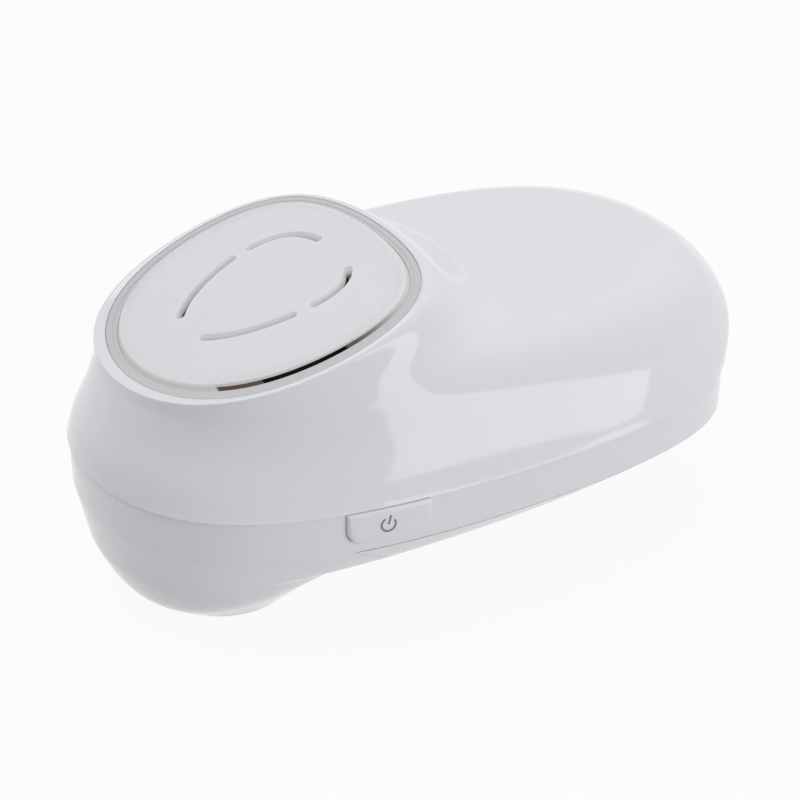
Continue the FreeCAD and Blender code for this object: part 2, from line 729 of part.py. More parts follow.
def slot(start, finish, bottom, top):
    """One sound slot between two angles of the path, with round ends."""
    half = size("slot_width") / 2
    outer = [level_point(start + (finish - start) * i / 6, slot_path(half)) for i in range(7)]
    inner = [level_point(start + (finish - start) * i / 6, slot_path(-half)) for i in range(7)]

    def edge(points):
        curve = Part.BSplineCurve()
        curve.interpolate(points)
        return curve.toShape()

    def cap(a, b, away):
        tip = (a + b) * 0.5 + away * half
        return Part.Arc(a, tip, b).toShape()

    leave_start = (outer[0] - outer[1]).normalize()
    leave_finish = (outer[-1] - outer[-2]).normalize()
    wire = Part.Wire([edge(outer), cap(outer[-1], inner[-1], leave_finish), edge(inner[::-1]),
                      cap(inner[0], outer[0], leave_start)])
    wire.translate(Vector(0, 0, bottom))
    return Part.Face(wire).extrude(Vector(0, 0, top - bottom))


def make_speaker_grille():
    """The domed speaker disc with four sound slots, on four posts."""
    outline = ring_level(-size("ring_width") - size("disc_gap"))
    radius = size("dome_radius")
    wall = size("disc_wall")
    rise = size("disc_rise")
    middle = Vector((outline[0][2] + outline[0][0]) / 2, 0, 0)
    sag = radius - math.sqrt(radius ** 2 - outline[1] ** 2)
    dome = Part.makeSphere(radius, middle + Vector(0, 0, rise + sag - radius))
    hollow = Part.makeSphere(radius - wall, middle + Vector(0, 0, rise + sag - radius))
    disc = prism(outline, -wall - 1, rise + sag + 1).common(dome)
    rim = [edge for edge in disc.Edges if edge.CenterOfMass.z > rise - 1.0]
    disc = disc.makeFillet(size("disc_edge"), rim).cut(hollow)
    for start, finish in SLOTS:
        disc = disc.cut(slot(math.radians(start), math.radians(finish), -wall - 1, rise + sag + 1))
    deck = size("seat_depth") - size("seat_plate")
    for x, y in grille_posts():
        disc = disc.fuse(upright(size("seat_post"), -deck, rise - wall / 2, x, y))
    tilt(solid("speaker_grille", disc.removeSplitter()))


# start and finish of each slot, in degrees round the path from its rear
SLOTS = ((22, 84), (96, 160), (200, 264), (276, 338))


def grille_posts():
    """The four posts between the disc and its seat, clear of the loudspeaker."""
    centre = size("speaker_station")
    reach = size("speaker_radius") + size("seat_post")
    lean = math.radians(35)
    return [(centre + side * reach * math.cos(lean), hand * reach * math.sin(lean))
            for side in (-1, 1) for hand in (-1, 1)]


def make_grille_seat():
    """The frame under the disc: a flange under the ring, a rim with sound vents, and a plate for the speaker."""
    top = -size("ring_depth")
    flange_bottom = top - size("seat_flange")
    bottom = -size("seat_depth")
    rim_out = -size("ring_width") - size("ring_slack")
    rim_in = rim_out - size("seat_rim")
    flange = prism(ring_level(-size("ring_slack") / 2), flange_bottom, top)
    body = prism(ring_level(rim_out), bottom, flange_bottom)
    pocket = prism(ring_level(rim_in), bottom + size("seat_plate"), 1)
    hole = upright(size("speaker_radius") - size("speaker_rim"), bottom - 1, 1, size("speaker_station"))
    seat = flange.fuse(body).cut(pocket).cut(hole)
    # two long vents in the rim, one on each side
    vent = Part.makeBox(size("vent_length"), 3 * size("ring_half"), size("seat_plate"),
                        Vector(-size("vent_front"), -1.5 * size("ring_half"), bottom + size("seat_plate")))
    tilt(solid("grille_seat", seat.cut(vent).removeSplitter()))


def make_loudspeaker():
    """The loudspeaker: foam gasket, steel basket, paper cone, magnet, and the cloth above it."""
    deck = size("seat_depth")
    tilted = []
    tilted.append((turned("speaker_gasket", [
        ("speaker_radius - speaker_rim", "0"), ("speaker_radius", "0"),
        ("speaker_radius", "gasket_wall"), ("speaker_radius - speaker_rim", "gasket_wall")]),
        deck + size("gasket_wall")))
    sheet = "seat_flange"
    tilted.append((turned("speaker_basket", [
        ("magnet_radius / 2", "0"), ("magnet_radius + 1", "0"),
        ("speaker_radius - speaker_rim - 1", "speaker_depth - " + sheet),
        ("speaker_radius", "speaker_depth - " + sheet), ("speaker_radius", "speaker_depth"),
        ("speaker_radius - speaker_rim - 1.5", "speaker_depth"), ("magnet_radius + 0.4", sheet),
        ("magnet_radius / 2", sheet)]), deck + size("gasket_wall") + size("speaker_depth")))
    tilted.append((turned("speaker_cone", [
        ("0", "speaker_depth * 0.4"), ("magnet_radius / 2", sheet + " * 1.5"),
        ("speaker_radius - speaker_rim - 2", "speaker_depth"),
        ("speaker_radius - speaker_rim - 0.1", "speaker_depth"),
        ("speaker_radius - speaker_rim - 0.1", "speaker_depth + 0.3"),
        ("speaker_radius - speaker_rim - 2.1", "speaker_depth + 0.3"),
        ("magnet_radius / 2", sheet + " * 1.5 + 0.4"), ("0", "speaker_depth * 0.4 + 0.4")]),
        deck + size("gasket_wall") + size("speaker_depth")))
    tilted.append((turned("speaker_magnet", [
        ("0", "0"), ("magnet_radius", "0"), ("magnet_radius", "magnet_depth"), ("0", "magnet_depth")]),
        deck + size("gasket_wall") + size("speaker_depth") + size("magnet_depth")))
    tilted.append((turned("speaker_cloth", [
        ("0", "0"), ("speaker_radius - speaker_rim + 0.8", "0"),
        ("speaker_radius - speaker_rim + 0.8", "0.3"), ("0", "0.3")]), deck - size("seat_plate")))
    for body, depth in tilted:
        body.setExpression("Placement.Base.x", None)
        body.setExpression("Placement.Base.y", None)
        body.setExpression("Placement.Base.z", None)
        tilt(body, depth)
        body.Placement = body.Placement.multiply(Placement(Vector(size("speaker_station"), 0, 0), Rotation()))


# ---------------------------------------------------------------- circuit board


def make_circuit_board():
    """The main board, shaped to the front of the case, with what is soldered to it."""
    bottom = size("seam_height") - size("board_drop")
    board = prism(grown(seam_level(), -size("board_margin")), bottom, bottom + size("board_wall"))
    board = board.common(Part.makeBox(200, 200, 200, Vector(size("board_rear") - 200, -100, 0)))
    for x, y in post_places():
        board = board.cut(upright(size("board_screw_radius") + 0.25, bottom - 1, bottom + 5, x, y))
    solid("main_board", board)
    top = "seam_height - board_drop + board_wall"
    block("processor_chip", "10", "10", "1.4", "2", "-12", top)
    can = block("shield_can_outer", "16", "14", "3", "2", "10", top)
    inside = block("shield_can_inner", "16 - 0.6", "14 - 0.6", "3 - 0.3", "2", "10", top)
    cut("shield_can", can, inside)
    group("power_capacitors", *[rod("capacitor_%d" % i, "2.5", "6.5", "20", "%d" % y, top)
                                for i, y in enumerate((-7, 0, 7), start=1)])
    screws = [screw(size("board_screw_radius"), size("board_screw_radius") * 2.1, 1.2,
                    size("board_screw_length") - 1, x, y, bottom + size("board_wall"), 1)
              for x, y in post_places()]
    solid("board_screws", Part.makeCompound(screws))


def screw(radius, head, head_depth, length, x, y, seat, hand):
    """A cross-headed screw with its head above (hand +1) or below (hand -1) its seat."""
    shank = Part.makeCylinder(radius, length, Vector(), Vector(0, 0, -1))
    body = shank.fuse(Part.makeCone(head, head * 0.8, head_depth))
    arm = head * 1.2
    for turn in (0, 90):
        slit = Part.makeBox(arm, head * 0.25, head_depth, Vector(-arm / 2, -head * 0.125, head_depth * 0.45))
        slit.rotate(Vector(), Vector(0, 0, 1), turn)
        body = body.cut(slit)
    if hand < 0:
        body.rotate(Vector(), Vector(1, 0, 0), 180)
    body.translate(Vector(x, y, seat))
    return body


def make_case_screws():
    """The four screws that hold the case halves together, put in from below."""
    seat = size("seam_height") - size("screw_seat")
    length = size("screw_seat") + size("screw_reach")
    screws = [screw(size("screw_radius"), size("screw_head"), size("screw_head_depth"), length, x, y, seat, -1)
              for x, y in screw_places()]
    solid("case_screws", Part.makeCompound(screws))


# ---------------------------------------------------------------- power button


def make_power_button():
    """The button in the band of the lower half, with its hidden flange and stem."""
    seam = size("seam_height")
    middle = seam - size("button_height") / 2
    slack = size("button_slack")
    proud = prism(grown(seam_level(), size("button_proud")), 0, seam - slack)
    core = proud.cut(prism(grown(seam_level(), size("button_proud") - size("button_wall")), -1, seam))
    button = core.common(button_window(0, seam - size("button_height"), seam - slack))
    # a narrower neck joins it to a flange that is larger than the opening
    wall = size("shell_wall") + slack + size("door_gap")
    neck = prism(grown(seam_level(), size("button_proud") - size("button_wall") / 2), 0, seam)
    neck = neck.cut(prism(grown(seam_level(), -wall - size("flange_wall") / 2), -1, seam + 1))
    neck = neck.common(button_window(-1.0, seam - size("button_height") + 1, seam - 1))
    flange = prism(grown(seam_level(), -wall), 0, seam).cut(
        prism(grown(seam_level(), -wall - size("flange_wall")), -1, seam + 1))
    flange = flange.common(button_window(size("button_flange"), seam - size("button_height"), seam - 2 * slack))
    tip = -size("switch_face") - size("plunger_out")
    reach = size("half_width") - wall
    stem = Part.makeCylinder(size("plunger_radius") * 1.2, reach + tip,
                             Vector(size("button_station"), tip, middle), Vector(0, -1, 0))
    stem = stem.common(prism(grown(seam_level(), -wall - size("flange_wall") / 2), 0, seam))
    solid("power_button", button.fuse([neck, flange, stem]).removeSplitter())


def make_power_switch():
    """The push switch under the edge of the board, and its plunger."""
    body = block("switch_housing", "switch_length", "switch_depth", "switch_height", "button_station",
                 "-switch_face + switch_depth / 2", "seam_height - board_drop - switch_height")
    middle = "seam_height - button_height / 2"
    well = rod("switch_well", "plunger_radius + 0.1", "plunger_out + button_travel", "button_station",
               "-switch_face", middle, (0, 1, 0))
    cut("power_switch", body, well)
    rod("switch_plunger", "plunger_radius", "plunger_out + plunger_out / 2", "button_station",
        "-switch_face - plunger_out", middle, (0, 1, 0))


# ---------------------------------------------------------------- volume wheel and headphone jack


def wheel_bottom():
    """Height of the underside of the volume wheel."""
    return size("seam_height") - size("wheel_drop") - size("wheel_wall")


def make_volume_control():
    """The thumb wheel and the rotary control that carries it."""
    wheel = DOC.addObject("PartDesign::Body", "volume_wheel")
    sketch = wheel.newObject("Sketcher::SketchObject", "wheel_outline")
    plane = [item for item in wheel.Origin.OriginFeatures if item.Role == "XY_Plane"][0]
    sketch.AttachmentSupport = [(plane, "")]
    sketch.MapMode = "FlatFace"
    for radius in (8.0, 2.0):
        sketch.addGeometry(Part.Circle(Vector(), Vector(0, 0, 1), radius), False)
    for geometry, formula in enumerate(("wheel_radius", "shaft_radius + shaft_slack")):
        sketch.addConstraint(Sketcher.Constraint("Coincident", geometry, 3, -1, 1))
        index = sketch.addConstraint(Sketcher.Constraint("Radius", geometry, 5.0 - 3 * geometry))
        bind(sketch, "Constraints[%d]" % index, formula)
    pad = wheel.newObject("PartDesign::Pad", "wheel_pad")
    pad.Profile = sketch
    bind(pad, "Length", "wheel_wall")
    notch = wheel.newObject("Sketcher::SketchObject", "notch_outline")
    notch.AttachmentSupport = [(plane, "")]
    notch.MapMode = "FlatFace"
    notch.addGeometry(Part.Circle(Vector(8, 0, 0), Vector(0, 0, 1), 0.5), False)
    notch.addConstraint(Sketcher.Constraint("PointOnObject", 0, 3, -1))
    index = notch.addConstraint(Sketcher.Constraint("DistanceX", -1, 1, 0, 3, 8.0))
    bind(notch, "Constraints[%d]" % index, "wheel_radius + 0.1")
    index = notch.addConstraint(Sketcher.Constraint("Radius", 0, 0.5))
    bind(notch, "Constraints[%d]" % index, "wheel_slack")
    pocket = wheel.newObject("PartDesign::Pocket", "notch_cut")
    pocket.Profile = notch
    pocket.Type = "ThroughAll"
    pocket.Reversed = True
    pattern = wheel.newObject("PartDesign::PolarPattern", "notch_ring")
    pattern.Originals = [pocket]
    pattern.Axis = (sketch, ["N_Axis"])
    pattern.Angle = 360
    pattern.Occurrences = 36
    wheel.Tip = pattern
    place(wheel, "wheel_station", "wheel_centre", "seam_height - wheel_drop - wheel_wall")
    body = rod("control_disc", "wheel_radius * 0.3", "wheel_drop - board_drop - 0.2", "wheel_station",
               "wheel_centre", "seam_height - wheel_drop + 0.2")
    shaft = rod("control_shaft", "shaft_radius", "wheel_drop + wheel_wall - board_drop", "wheel_station",
                "wheel_centre", "seam_height - wheel_drop - wheel_wall")
    fuse("volume_control", body, shaft)


def jack_height():
    """Height of the axis of the headphone socket."""
    return size("seam_height") - size("board_drop") - size("jack_height") / 2


def jack_mouth():
    """How far out the mouth of the headphone socket lies, just inside the case surface."""
    return seam_reach(size("jack_station")) - size("seam_step") - size("button_slack")


def make_headphone_jack():
    """The socket for the headphones, with its nose in the wall of the case."""
    mouth = jack_mouth()
    height = jack_height()
    face = mouth - size("shell_wall") - size("door_gap") - 2
    depth = size("jack_depth")
    body = Part.makeBox(size("jack_width"), depth, size("jack_height"), Vector(
        size("jack_station") - size("jack_width") / 2, face - depth, height - size("jack_height") / 2))
    start = Vector(size("jack_station"), face - 1, height)
    nose = Part.makeCylinder(size("jack_nose"), mouth - face + 1, start, Vector(0, 1, 0))
    bore = Part.makeCylinder(size("jack_bore"), depth + 1,
                             Vector(size("jack_station"), mouth - depth, height), Vector(0, 1, 0))
    solid("headphone_jack", body.fuse(nose).cut(bore))


# ---------------------------------------------------------------- transducer


def make_transducer():
    """The ultrasound probe: face, seal, crystals, damping block and cup."""
    turned("transducer_face", [
        ("0", "0"), ("face_radius", "0"), ("face_radius", "shell_wall + seal_wall"),
        ("face_flange", "shell_wall + seal_wall"), ("face_flange", "shell_wall + seal_wall + face_wall / 2"),
        ("0", "shell_wall + seal_wall + face_wall / 2")])
    turned("face_seal", [
        ("face_radius + face_slack", "0"), ("face_flange", "0"), ("face_flange", "seal_wall"),
        ("face_radius + face_slack", "seal_wall")], z="shell_wall")
    back = "shell_wall + seal_wall + face_wall / 2"
    disc = rod("crystal_disc", "crystal_radius", "crystal_wall", "0", "0", back)
    gap = block("crystal_slit", "crystal_gap", "crystal_radius * 3", "crystal_wall * 3", "0", "0",
                back + " - crystal_wall")
    cut("piezo_crystals", disc, gap)
    turned("damping_block", [
        ("0", "0"), ("face_flange - cup_wall", "0"), ("face_flange - cup_wall", "backing_depth"),
        ("0", "backing_depth")], z=back + " + crystal_wall")
    turned("transducer_cup", [
        ("face_flange - cup_wall", "0"), ("face_flange", "0"), ("face_flange", "cup_depth"),
        ("cup_wall * 2", "cup_depth"), ("cup_wall * 2", "cup_depth - cup_wall"),
        ("face_flange - cup_wall", "cup_depth - cup_wall")], z=back)


# ---------------------------------------------------------------- battery


def make_battery():
    """The nine-volt block, its two terminals and the snap connector."""
    case = block("battery_block", "battery_length", "battery_width", "battery_height",
                 "battery_front + battery_length / 2", "0", "seam_height - battery_drop")
    case.Label = "battery_blank"
    rounded = DOC.addObject("Part::Fillet", "battery")
    rounded.Base = case
    rounded.Edges = [(number, 1.5, 1.5) for number in (9, 10, 11, 12)]
    middle = "seam_height - battery_drop + battery_height / 2"
    towards = (-1, 0, 0)
    stud = rod("battery_stud", "stud_radius", "terminal_reach", "battery_front", "terminal_spacing / 2", middle, towards)
    ring = rod("battery_ring", "socket_radius", "terminal_reach", "battery_front", "-terminal_spacing / 2", middle,
               towards)
    well = rod("battery_well", "stud_radius", "terminal_reach", "battery_front - 1", "-terminal_spacing / 2", middle,
               towards)
    group("battery_terminals", stud, cut("battery_socket", ring, well))
    plate = block("snap_plate", "snap_depth", "battery_width - 2", "battery_height - 4",
                  "battery_front - 0.2 - snap_depth / 2", "0", "seam_height - battery_drop + 2")
    over_stud = rod("snap_stud_hole", "stud_radius + 0.2", "terminal_reach + 0.2", "battery_front",
                    "terminal_spacing / 2", middle, towards)
    over_ring = rod("snap_ring_hole", "socket_radius + 0.2", "terminal_reach + 0.2", "battery_front",
                    "-terminal_spacing / 2", middle, towards)
    cut("battery_snap", plate, over_stud, over_ring)


# ---------------------------------------------------------------- build and write

NODES = (
    "upper_shell", "lower_shell", "battery_door", "door_pad",
    "light_ring", "ring_leds", "speaker_grille", "grille_seat",
    "speaker_gasket", "speaker_basket", "speaker_cone", "speaker_magnet", "speaker_cloth",
    "main_board", "processor_chip", "shield_can", "power_capacitors", "board_screws", "case_screws",
    "power_button", "power_switch", "switch_plunger",
    "volume_wheel", "volume_control", "headphone_jack",
    "transducer_face", "face_seal", "piezo_crystals", "damping_block", "transducer_cup",
    "battery", "battery_terminals", "battery_snap",
)


def build():
    """Make every sub-part."""
    derive_places()
    make_upper_shell()
    make_lower_shell()
    make_battery_door()
    make_light_ring()
    make_leds()
    make_speaker_grille()
    make_grille_seat()
    make_loudspeaker()
    make_circuit_board()
    make_case_screws()
    make_power_button()
    make_power_switch()
    make_volume_control()
    make_headphone_jack()
    make_transducer()
    make_battery()
    DOC.recompute()


def check_and_write():
    """Refuse a failed object or a bad shape, then write one STEP file for each sub-part."""
    for thing in DOC.Objects:
        if "Invalid" in thing.State or "Error" in thing.State:
            raise RuntimeError("%s failed: %s" % (thing.Label, thing.State))
    os.makedirs("parts", exist_ok=True)
    for name in NODES:
        shape = DOC.getObjectsByLabel(name)[0].Shape
        if shape.isNull() or not shape.isValid() or not shape.Solids:
            raise RuntimeError("%s has no valid solid" % name)
        shape.exportStep("parts/%s.step" % name)
        box = shape.BoundBox
        print("%-18s %d solid, %8.1f mm3, x %.1f..%.1f y %.1f..%.1f z %.1f..%.1f" % (
            name, len(shape.Solids), shape.Volume, box.XMin, box.XMax, box.YMin, box.YMax, box.ZMin, box.ZMax))


build()
check_and_write()
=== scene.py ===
# %% [markdown]
# # A hand-held heartbeat monitor
#
# The object is a palm-sized monitor in glossy white plastic. Two moulded case halves meet on a level
# parting line. The front half carries a tilted speaker pod with a light ring, and under it a round probe
# head that faces down. The rear half is a tapering tail with a battery inside, closed from below by a
# sliding door.
#
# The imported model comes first: every piece below is placed in its frame, in metres, and moves with its
# bodies.

# %% Load the frame
import math

import bmesh
import bpy
import numpy as np
from mathutils import Matrix, Vector


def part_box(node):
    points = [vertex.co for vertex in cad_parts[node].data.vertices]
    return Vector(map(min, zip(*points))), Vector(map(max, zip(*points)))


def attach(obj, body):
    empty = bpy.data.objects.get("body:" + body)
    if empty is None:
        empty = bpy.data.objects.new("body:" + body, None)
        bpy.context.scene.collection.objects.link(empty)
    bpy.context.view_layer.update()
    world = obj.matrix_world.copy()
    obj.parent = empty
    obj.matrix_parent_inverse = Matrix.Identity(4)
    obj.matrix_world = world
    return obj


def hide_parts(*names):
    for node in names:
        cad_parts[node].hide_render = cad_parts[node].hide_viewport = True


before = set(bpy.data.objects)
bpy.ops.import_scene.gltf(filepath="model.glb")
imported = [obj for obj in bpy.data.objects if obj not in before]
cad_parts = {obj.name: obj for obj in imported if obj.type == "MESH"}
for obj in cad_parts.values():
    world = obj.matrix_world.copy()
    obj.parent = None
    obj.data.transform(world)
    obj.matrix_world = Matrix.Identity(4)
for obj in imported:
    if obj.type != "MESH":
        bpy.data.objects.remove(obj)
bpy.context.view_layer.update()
print("nodes:", len(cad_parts))

# %% [markdown]
# ## Sizes
#
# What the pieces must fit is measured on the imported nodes: the height of the parting line, the half width,
# the reach of the tail, the face of the probe, and further down the wheel and the socket that the openings
# go round. The rest are the driving sizes of the moulded form, in millimetres times MM.

# %% Driving sizes
MM = 0.001


def low(node):
    """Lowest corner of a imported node."""
    return Vector(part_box(node)[0])


def high(node):
    """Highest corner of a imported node."""
    return Vector(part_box(node)[1])


SEAM = low("upper_shell").z
SEAM_STEP = 0.3 * MM
HEAD_FRONT = 25.6 * MM
TAIL_REAR = high("lower_shell").x + SEAM_STEP
HALF_WIDTH = high("upper_shell").y
WIDEST_STATION = 44.5 * MM
SEAM_FULLNESS = 0.045
SHELL_WALL = 2.0 * MM
BAND_HEIGHT = 8.0 * MM
BAND_TAPER = 0.4 * MM
CREASE = SEAM - BAND_HEIGHT
PROBE_RADIUS = 13.3 * MM
FACE_STAND = low("lower_shell").z
RING_TILT = math.radians(16.6)
RING_HEIGHT = 24.4 * MM
RING_FRONT = 18.9 * MM
RING_REAR = 35.6 * MM
RING_WIDEST = 13.0 * MM
RING_HALF = 28.8 * MM
RING_FULLNESS = 0.023
RING_DEPTH = 2.2 * MM
LIP_WIDTH = 0.8 * MM
LIP_WIDE = 1.6 * MM
LIP_SINK = 0.5 * MM
EDGE_SINK = 1.04 * MM
EDGE_FRONT = 18.3 * MM
EDGE_REAR = 35.9 * MM
EDGE_HALF = 29.0 * MM
DISC_FRONT = 15.9 * MM
DISC_REAR = 33.75 * MM
DISC_WIDEST = 13.2 * MM
DISC_HALF = 26.05 * MM
DISC_RISE = -0.3 * MM
DISC_WALL = 1.75 * MM
DOME_RADIUS = 430.0 * MM
DOOR_RADIUS = 36.0 * MM
DOOR_GAP = 0.3 * MM
DOOR_WALL = 1.6 * MM
ROUND = 128
print("parting line at %.1f mm, half width %.1f mm" % (SEAM / MM, HALF_WIDTH / MM))

# %% [markdown]
# ## The moulded form
#
# The case is a free form with no flat or round part to start from, but each of its level curves is simple:
# an oval that is pushed towards one end and a little squared. Such a curve needs only eight numbers: where
# its front, its widest point and its rear are, its half width, the heights of the same three places, and
# its fullness. A smooth spline through a few of these ovals gives as many rings as the mesh needs.


# %% Level curves
def between(angle, front, side, rear, fullness=0.0):
    """Value at an angle round a level curve: rear at 0, side at a quarter turn, front at half a turn."""
    reach = (rear - front) / 2
    skew = ((rear + front) / 2 - side) / 2
    middle = ((rear + front) / 2 + side) / 2
    swing = (math.cos(angle) - fullness * math.cos(3 * angle)) / (1 - fullness)
    return middle + reach * swing + skew * math.cos(2 * angle)


def level(front, side, rear, half, low_front, low_side, low_rear, fullness):
    """The eight numbers of one level curve."""
    return np.array([front, side, rear, half, low_front, low_side, low_rear, fullness])


def level_point(angle, curve):
    """A point of a level curve."""
    fullness = curve[7]
    spread = curve[3] * (math.sin(angle) + fullness * math.sin(3 * angle)) / (1 - fullness)
    return Vector((between(angle, *curve[:3], fullness), spread, between(angle, *curve[4:7], fullness)))


def ring_of(curve, count=ROUND):
    """A level curve as a ring of points."""
    return [level_point(2 * math.pi * i / count, curve) for i in range(count)]


def grown(curve, by, lift=0.0):
    """A level curve moved out by an amount, or in if that is negative, and lifted."""
    return curve + np.array([-by, 0, by, by, lift, lift, lift, 0])


def flat(curve, height):
    """A level curve laid flat at a height."""
    return level(*curve[:4], height, height, height, curve[7])


def smooth_levels(curves, count):
    """Many level curves on a natural cubic spline through a few, spaced by their distance from each other."""
    rings = np.array([[tuple(p) for p in ring_of(curve, 24)] for curve in curves])
    steps = np.sqrt(((rings[1:] - rings[:-1]) ** 2).sum(axis=2)).mean(axis=1)
    knots = np.concatenate([[0.0], np.cumsum(steps)])
    values = np.array(curves)
    size = len(curves)
    gaps = np.diff(knots)
    system = np.eye(size)
    right = np.zeros_like(values)
    for i in range(1, size - 1):
        system[i, i - 1:i + 2] = gaps[i - 1], 2 * (gaps[i - 1] + gaps[i]), gaps[i]
        right[i] = 6 * ((values[i + 1] - values[i]) / gaps[i] - (values[i] - values[i - 1]) / gaps[i - 1])
    bend = np.linalg.solve(system, right)
    result = []
    for place in np.linspace(0, knots[-1], count):
        i = min(int(np.searchsorted(knots, place, side="right")) - 1, size - 2)
        before, after, gap = knots[i + 1] - place, place - knots[i], gaps[i]
        result.append((bend[i] * before ** 3 + bend[i + 1] * after ** 3) / (6 * gap)
                      + (values[i] / gap - bend[i] * gap / 6) * before
                      + (values[i + 1] / gap - bend[i + 1] * gap / 6) * after)
    return result


# %% [markdown]
# The upper half runs from the parting line to the lip round the light ring, and the lower half from the
# soft crease under the band to the flat end of the probe head. Each level between is given as a share of
# the way.

# %% The two halves as levels
SEAM_LEVEL = level(-HEAD_FRONT, WIDEST_STATION, TAIL_REAR, HALF_WIDTH, SEAM, SEAM, SEAM, SEAM_FULLNESS)
BAND_LEVEL = grown(SEAM_LEVEL, -SEAM_STEP)
CREASE_LEVEL = flat(grown(SEAM_LEVEL, -BAND_TAPER), CREASE)
PROBE_LEVEL = level(-PROBE_RADIUS, 0, PROBE_RADIUS, PROBE_RADIUS, FACE_STAND, FACE_STAND, FACE_STAND, 0.0)


def ring_level(by=0.0, height=0.0):
    """The outline of the light ring in its own plane, moved out by an amount and lifted."""
    curve = level(-RING_FRONT, RING_WIDEST, RING_REAR, RING_HALF, 0, 0, 0, RING_FULLNESS)
    return grown(curve, by, height)


EDGE_LEVEL = level(-EDGE_FRONT, RING_WIDEST, EDGE_REAR, EDGE_HALF, 0, 0, 0, RING_FULLNESS)
DISC_LEVEL = level(-DISC_FRONT, DISC_WIDEST, DISC_REAR, DISC_HALF, 0, 0, 0, RING_FULLNESS)


def pod_level(share, height):
    """An outline between the lip's inner edge at 0 and the edge of the speaker disc at 1, at a height."""
    return grown(EDGE_LEVEL + (DISC_LEVEL - EDGE_LEVEL) * share, 0, height)


RING_PLANE = Matrix.Translation((0, 0, SEAM + RING_HEIGHT)) @ Matrix.Rotation(-RING_TILT, 4, "Y")


def tilted(ring):
    """A ring that is drawn in the plane of the light ring, in its place."""
    return [RING_PLANE @ point for point in ring]


def lip_level(by, sink=0.0):
    """The outline of the ring moved out by an amount and sunk, in its tilted place."""
    curve = ring_level(by)
    flat_x = [x * math.cos(RING_TILT) + sink * math.sin(RING_TILT) for x in curve[:3]]
    heights = [SEAM + RING_HEIGHT + x * math.sin(RING_TILT) - sink * math.cos(RING_TILT) for x in curve[:3]]
    return level(*flat_x, curve[3], *heights, curve[7])


POD_AND_TAIL = (
    ((0.10, -0.03, -0.045), 0.113, (0.27, 0.195, 0.19), 0.035),
    ((0.40, -0.01, -0.01), 0.278, (0.53, 0.39, 0.41), 0.030),
    ((0.67, 0.11, 0.11), 0.454, (0.74, 0.555, 0.615), 0.030),
    ((0.84, 0.45, 0.44), 0.69, (0.87, 0.69, 0.70), 0.030),
    ((0.96, 0.89, 0.83), 0.918, (0.95, 0.87, 0.75), 0.025),
)
BELLY_AND_BULB = (
    ((0.07, 0.10, 0.06), 0.14, (0.22, 0.17, 0.19), 0.040),
    ((0.20, 0.62, 0.41), 0.41, (0.50, 0.33, 0.25), 0.020),
    ((0.48, 0.87, 0.75), 0.61, (0.77, 0.55, 0.38), 0.010),
)


def form(first, last, shares):
    """All the level curves of one moulded half."""
    curves = [first]
    for stations, half, heights, fullness in shares:
        share = np.array([*stations, half, *heights, 0])
        curve = first + (last - first) * share
        curve[7] = fullness
        curves.append(curve)
    return curves + [last]


UPPER_FORM = form(SEAM_LEVEL, lip_level(LIP_WIDTH), POD_AND_TAIL)
LOWER_FORM = form(CREASE_LEVEL, PROBE_LEVEL, BELLY_AND_BULB)


def lining(curves, wall, hand):
    """The level curves of the inner surface, a wall's thickness inside the outer ones."""
    def inward(profile, i, way):
        before = profile[max(i - 1, 0)]
        after = profile[min(i + 1, len(profile) - 1)]
        along = (after[0] - before[0], after[1] - before[1])
        scale = way * wall / math.hypot(*along)
        return profile[i][0] + along[1] * scale, profile[i][1] - along[0] * scale

    front = [(curve[0], curve[4]) for curve in curves]
    side = [(curve[3], curve[5]) for curve in curves]
    rear = [(curve[2], curve[6]) for curve in curves]
    inner = []
    for i, curve in enumerate(curves):
        front_x, front_z = inward(front, i, hand)
        half, side_z = inward(side, i, -hand)
        rear_x, rear_z = inward(rear, i, -hand)
        inner.append(level(front_x, curve[1], rear_x, half, front_z, side_z, rear_z, curve[7]))
    return inner


# %% [markdown]
# ## Modelling helpers
#
# Every moulded skin is made the same way by hand: a circle is added, its edge is extruded once for each
# further ring, and each new ring is moved to its place. A column number on each corner is copied by the
# extrusion, so the script knows where each new corner belongs. Openings are cut with a Boolean modifier
# that is then applied.


# %% Skins, cuts and shading
def deselect():
    """Nothing selected and nothing in edit mode."""
    if bpy.context.object and bpy.context.object.mode != "OBJECT":
        bpy.ops.object.mode_set(mode="OBJECT")
    bpy.ops.object.select_all(action="DESELECT")


def activate(piece):
    """Select one object alone and make it the active one."""
    deselect()
    piece.select_set(True)
    bpy.context.view_layer.objects.active = piece


def skin(name, rings, closed=False, capped=False):
    """A skin through rings of points. closed joins the last ring to the first, capped fills both ends."""
    deselect()
    bpy.ops.mesh.primitive_circle_add(vertices=len(rings[0]))
    piece = bpy.context.object
    piece.name = name
    piece.data.name = name
    bpy.ops.object.mode_set(mode="EDIT")
    work = bmesh.from_edit_mesh(piece.data)
    column = work.verts.layers.int.new("column")
    work.verts.ensure_lookup_table()
    for i, corner in enumerate(work.verts):
        corner[column] = i
        corner.co = rings[0][i]
    for ring in rings[1:]:
        bpy.ops.mesh.extrude_edges_move()
        work = bmesh.from_edit_mesh(piece.data)
        column = work.verts.layers.int["column"]
        for corner in [v for v in work.verts if v.select]:
            corner.co = ring[corner[column]]
    if capped:
        bpy.ops.mesh.edge_face_add()
        bpy.ops.mesh.select_all(action="DESELECT")
        work = bmesh.from_edit_mesh(piece.data)
        for edge in work.edges:
            edge.select_set(edge.is_boundary)
        bpy.ops.mesh.edge_face_add()
    bpy.ops.mesh.select_all(action="SELECT")
    if closed:
        bpy.ops.mesh.remove_doubles(threshold=1e-7)
    bpy.ops.mesh.normals_make_consistent(inside=False)
    bpy.ops.object.mode_set(mode="OBJECT")
    piece.data.attributes.remove(piece.data.attributes["column"])
    return piece


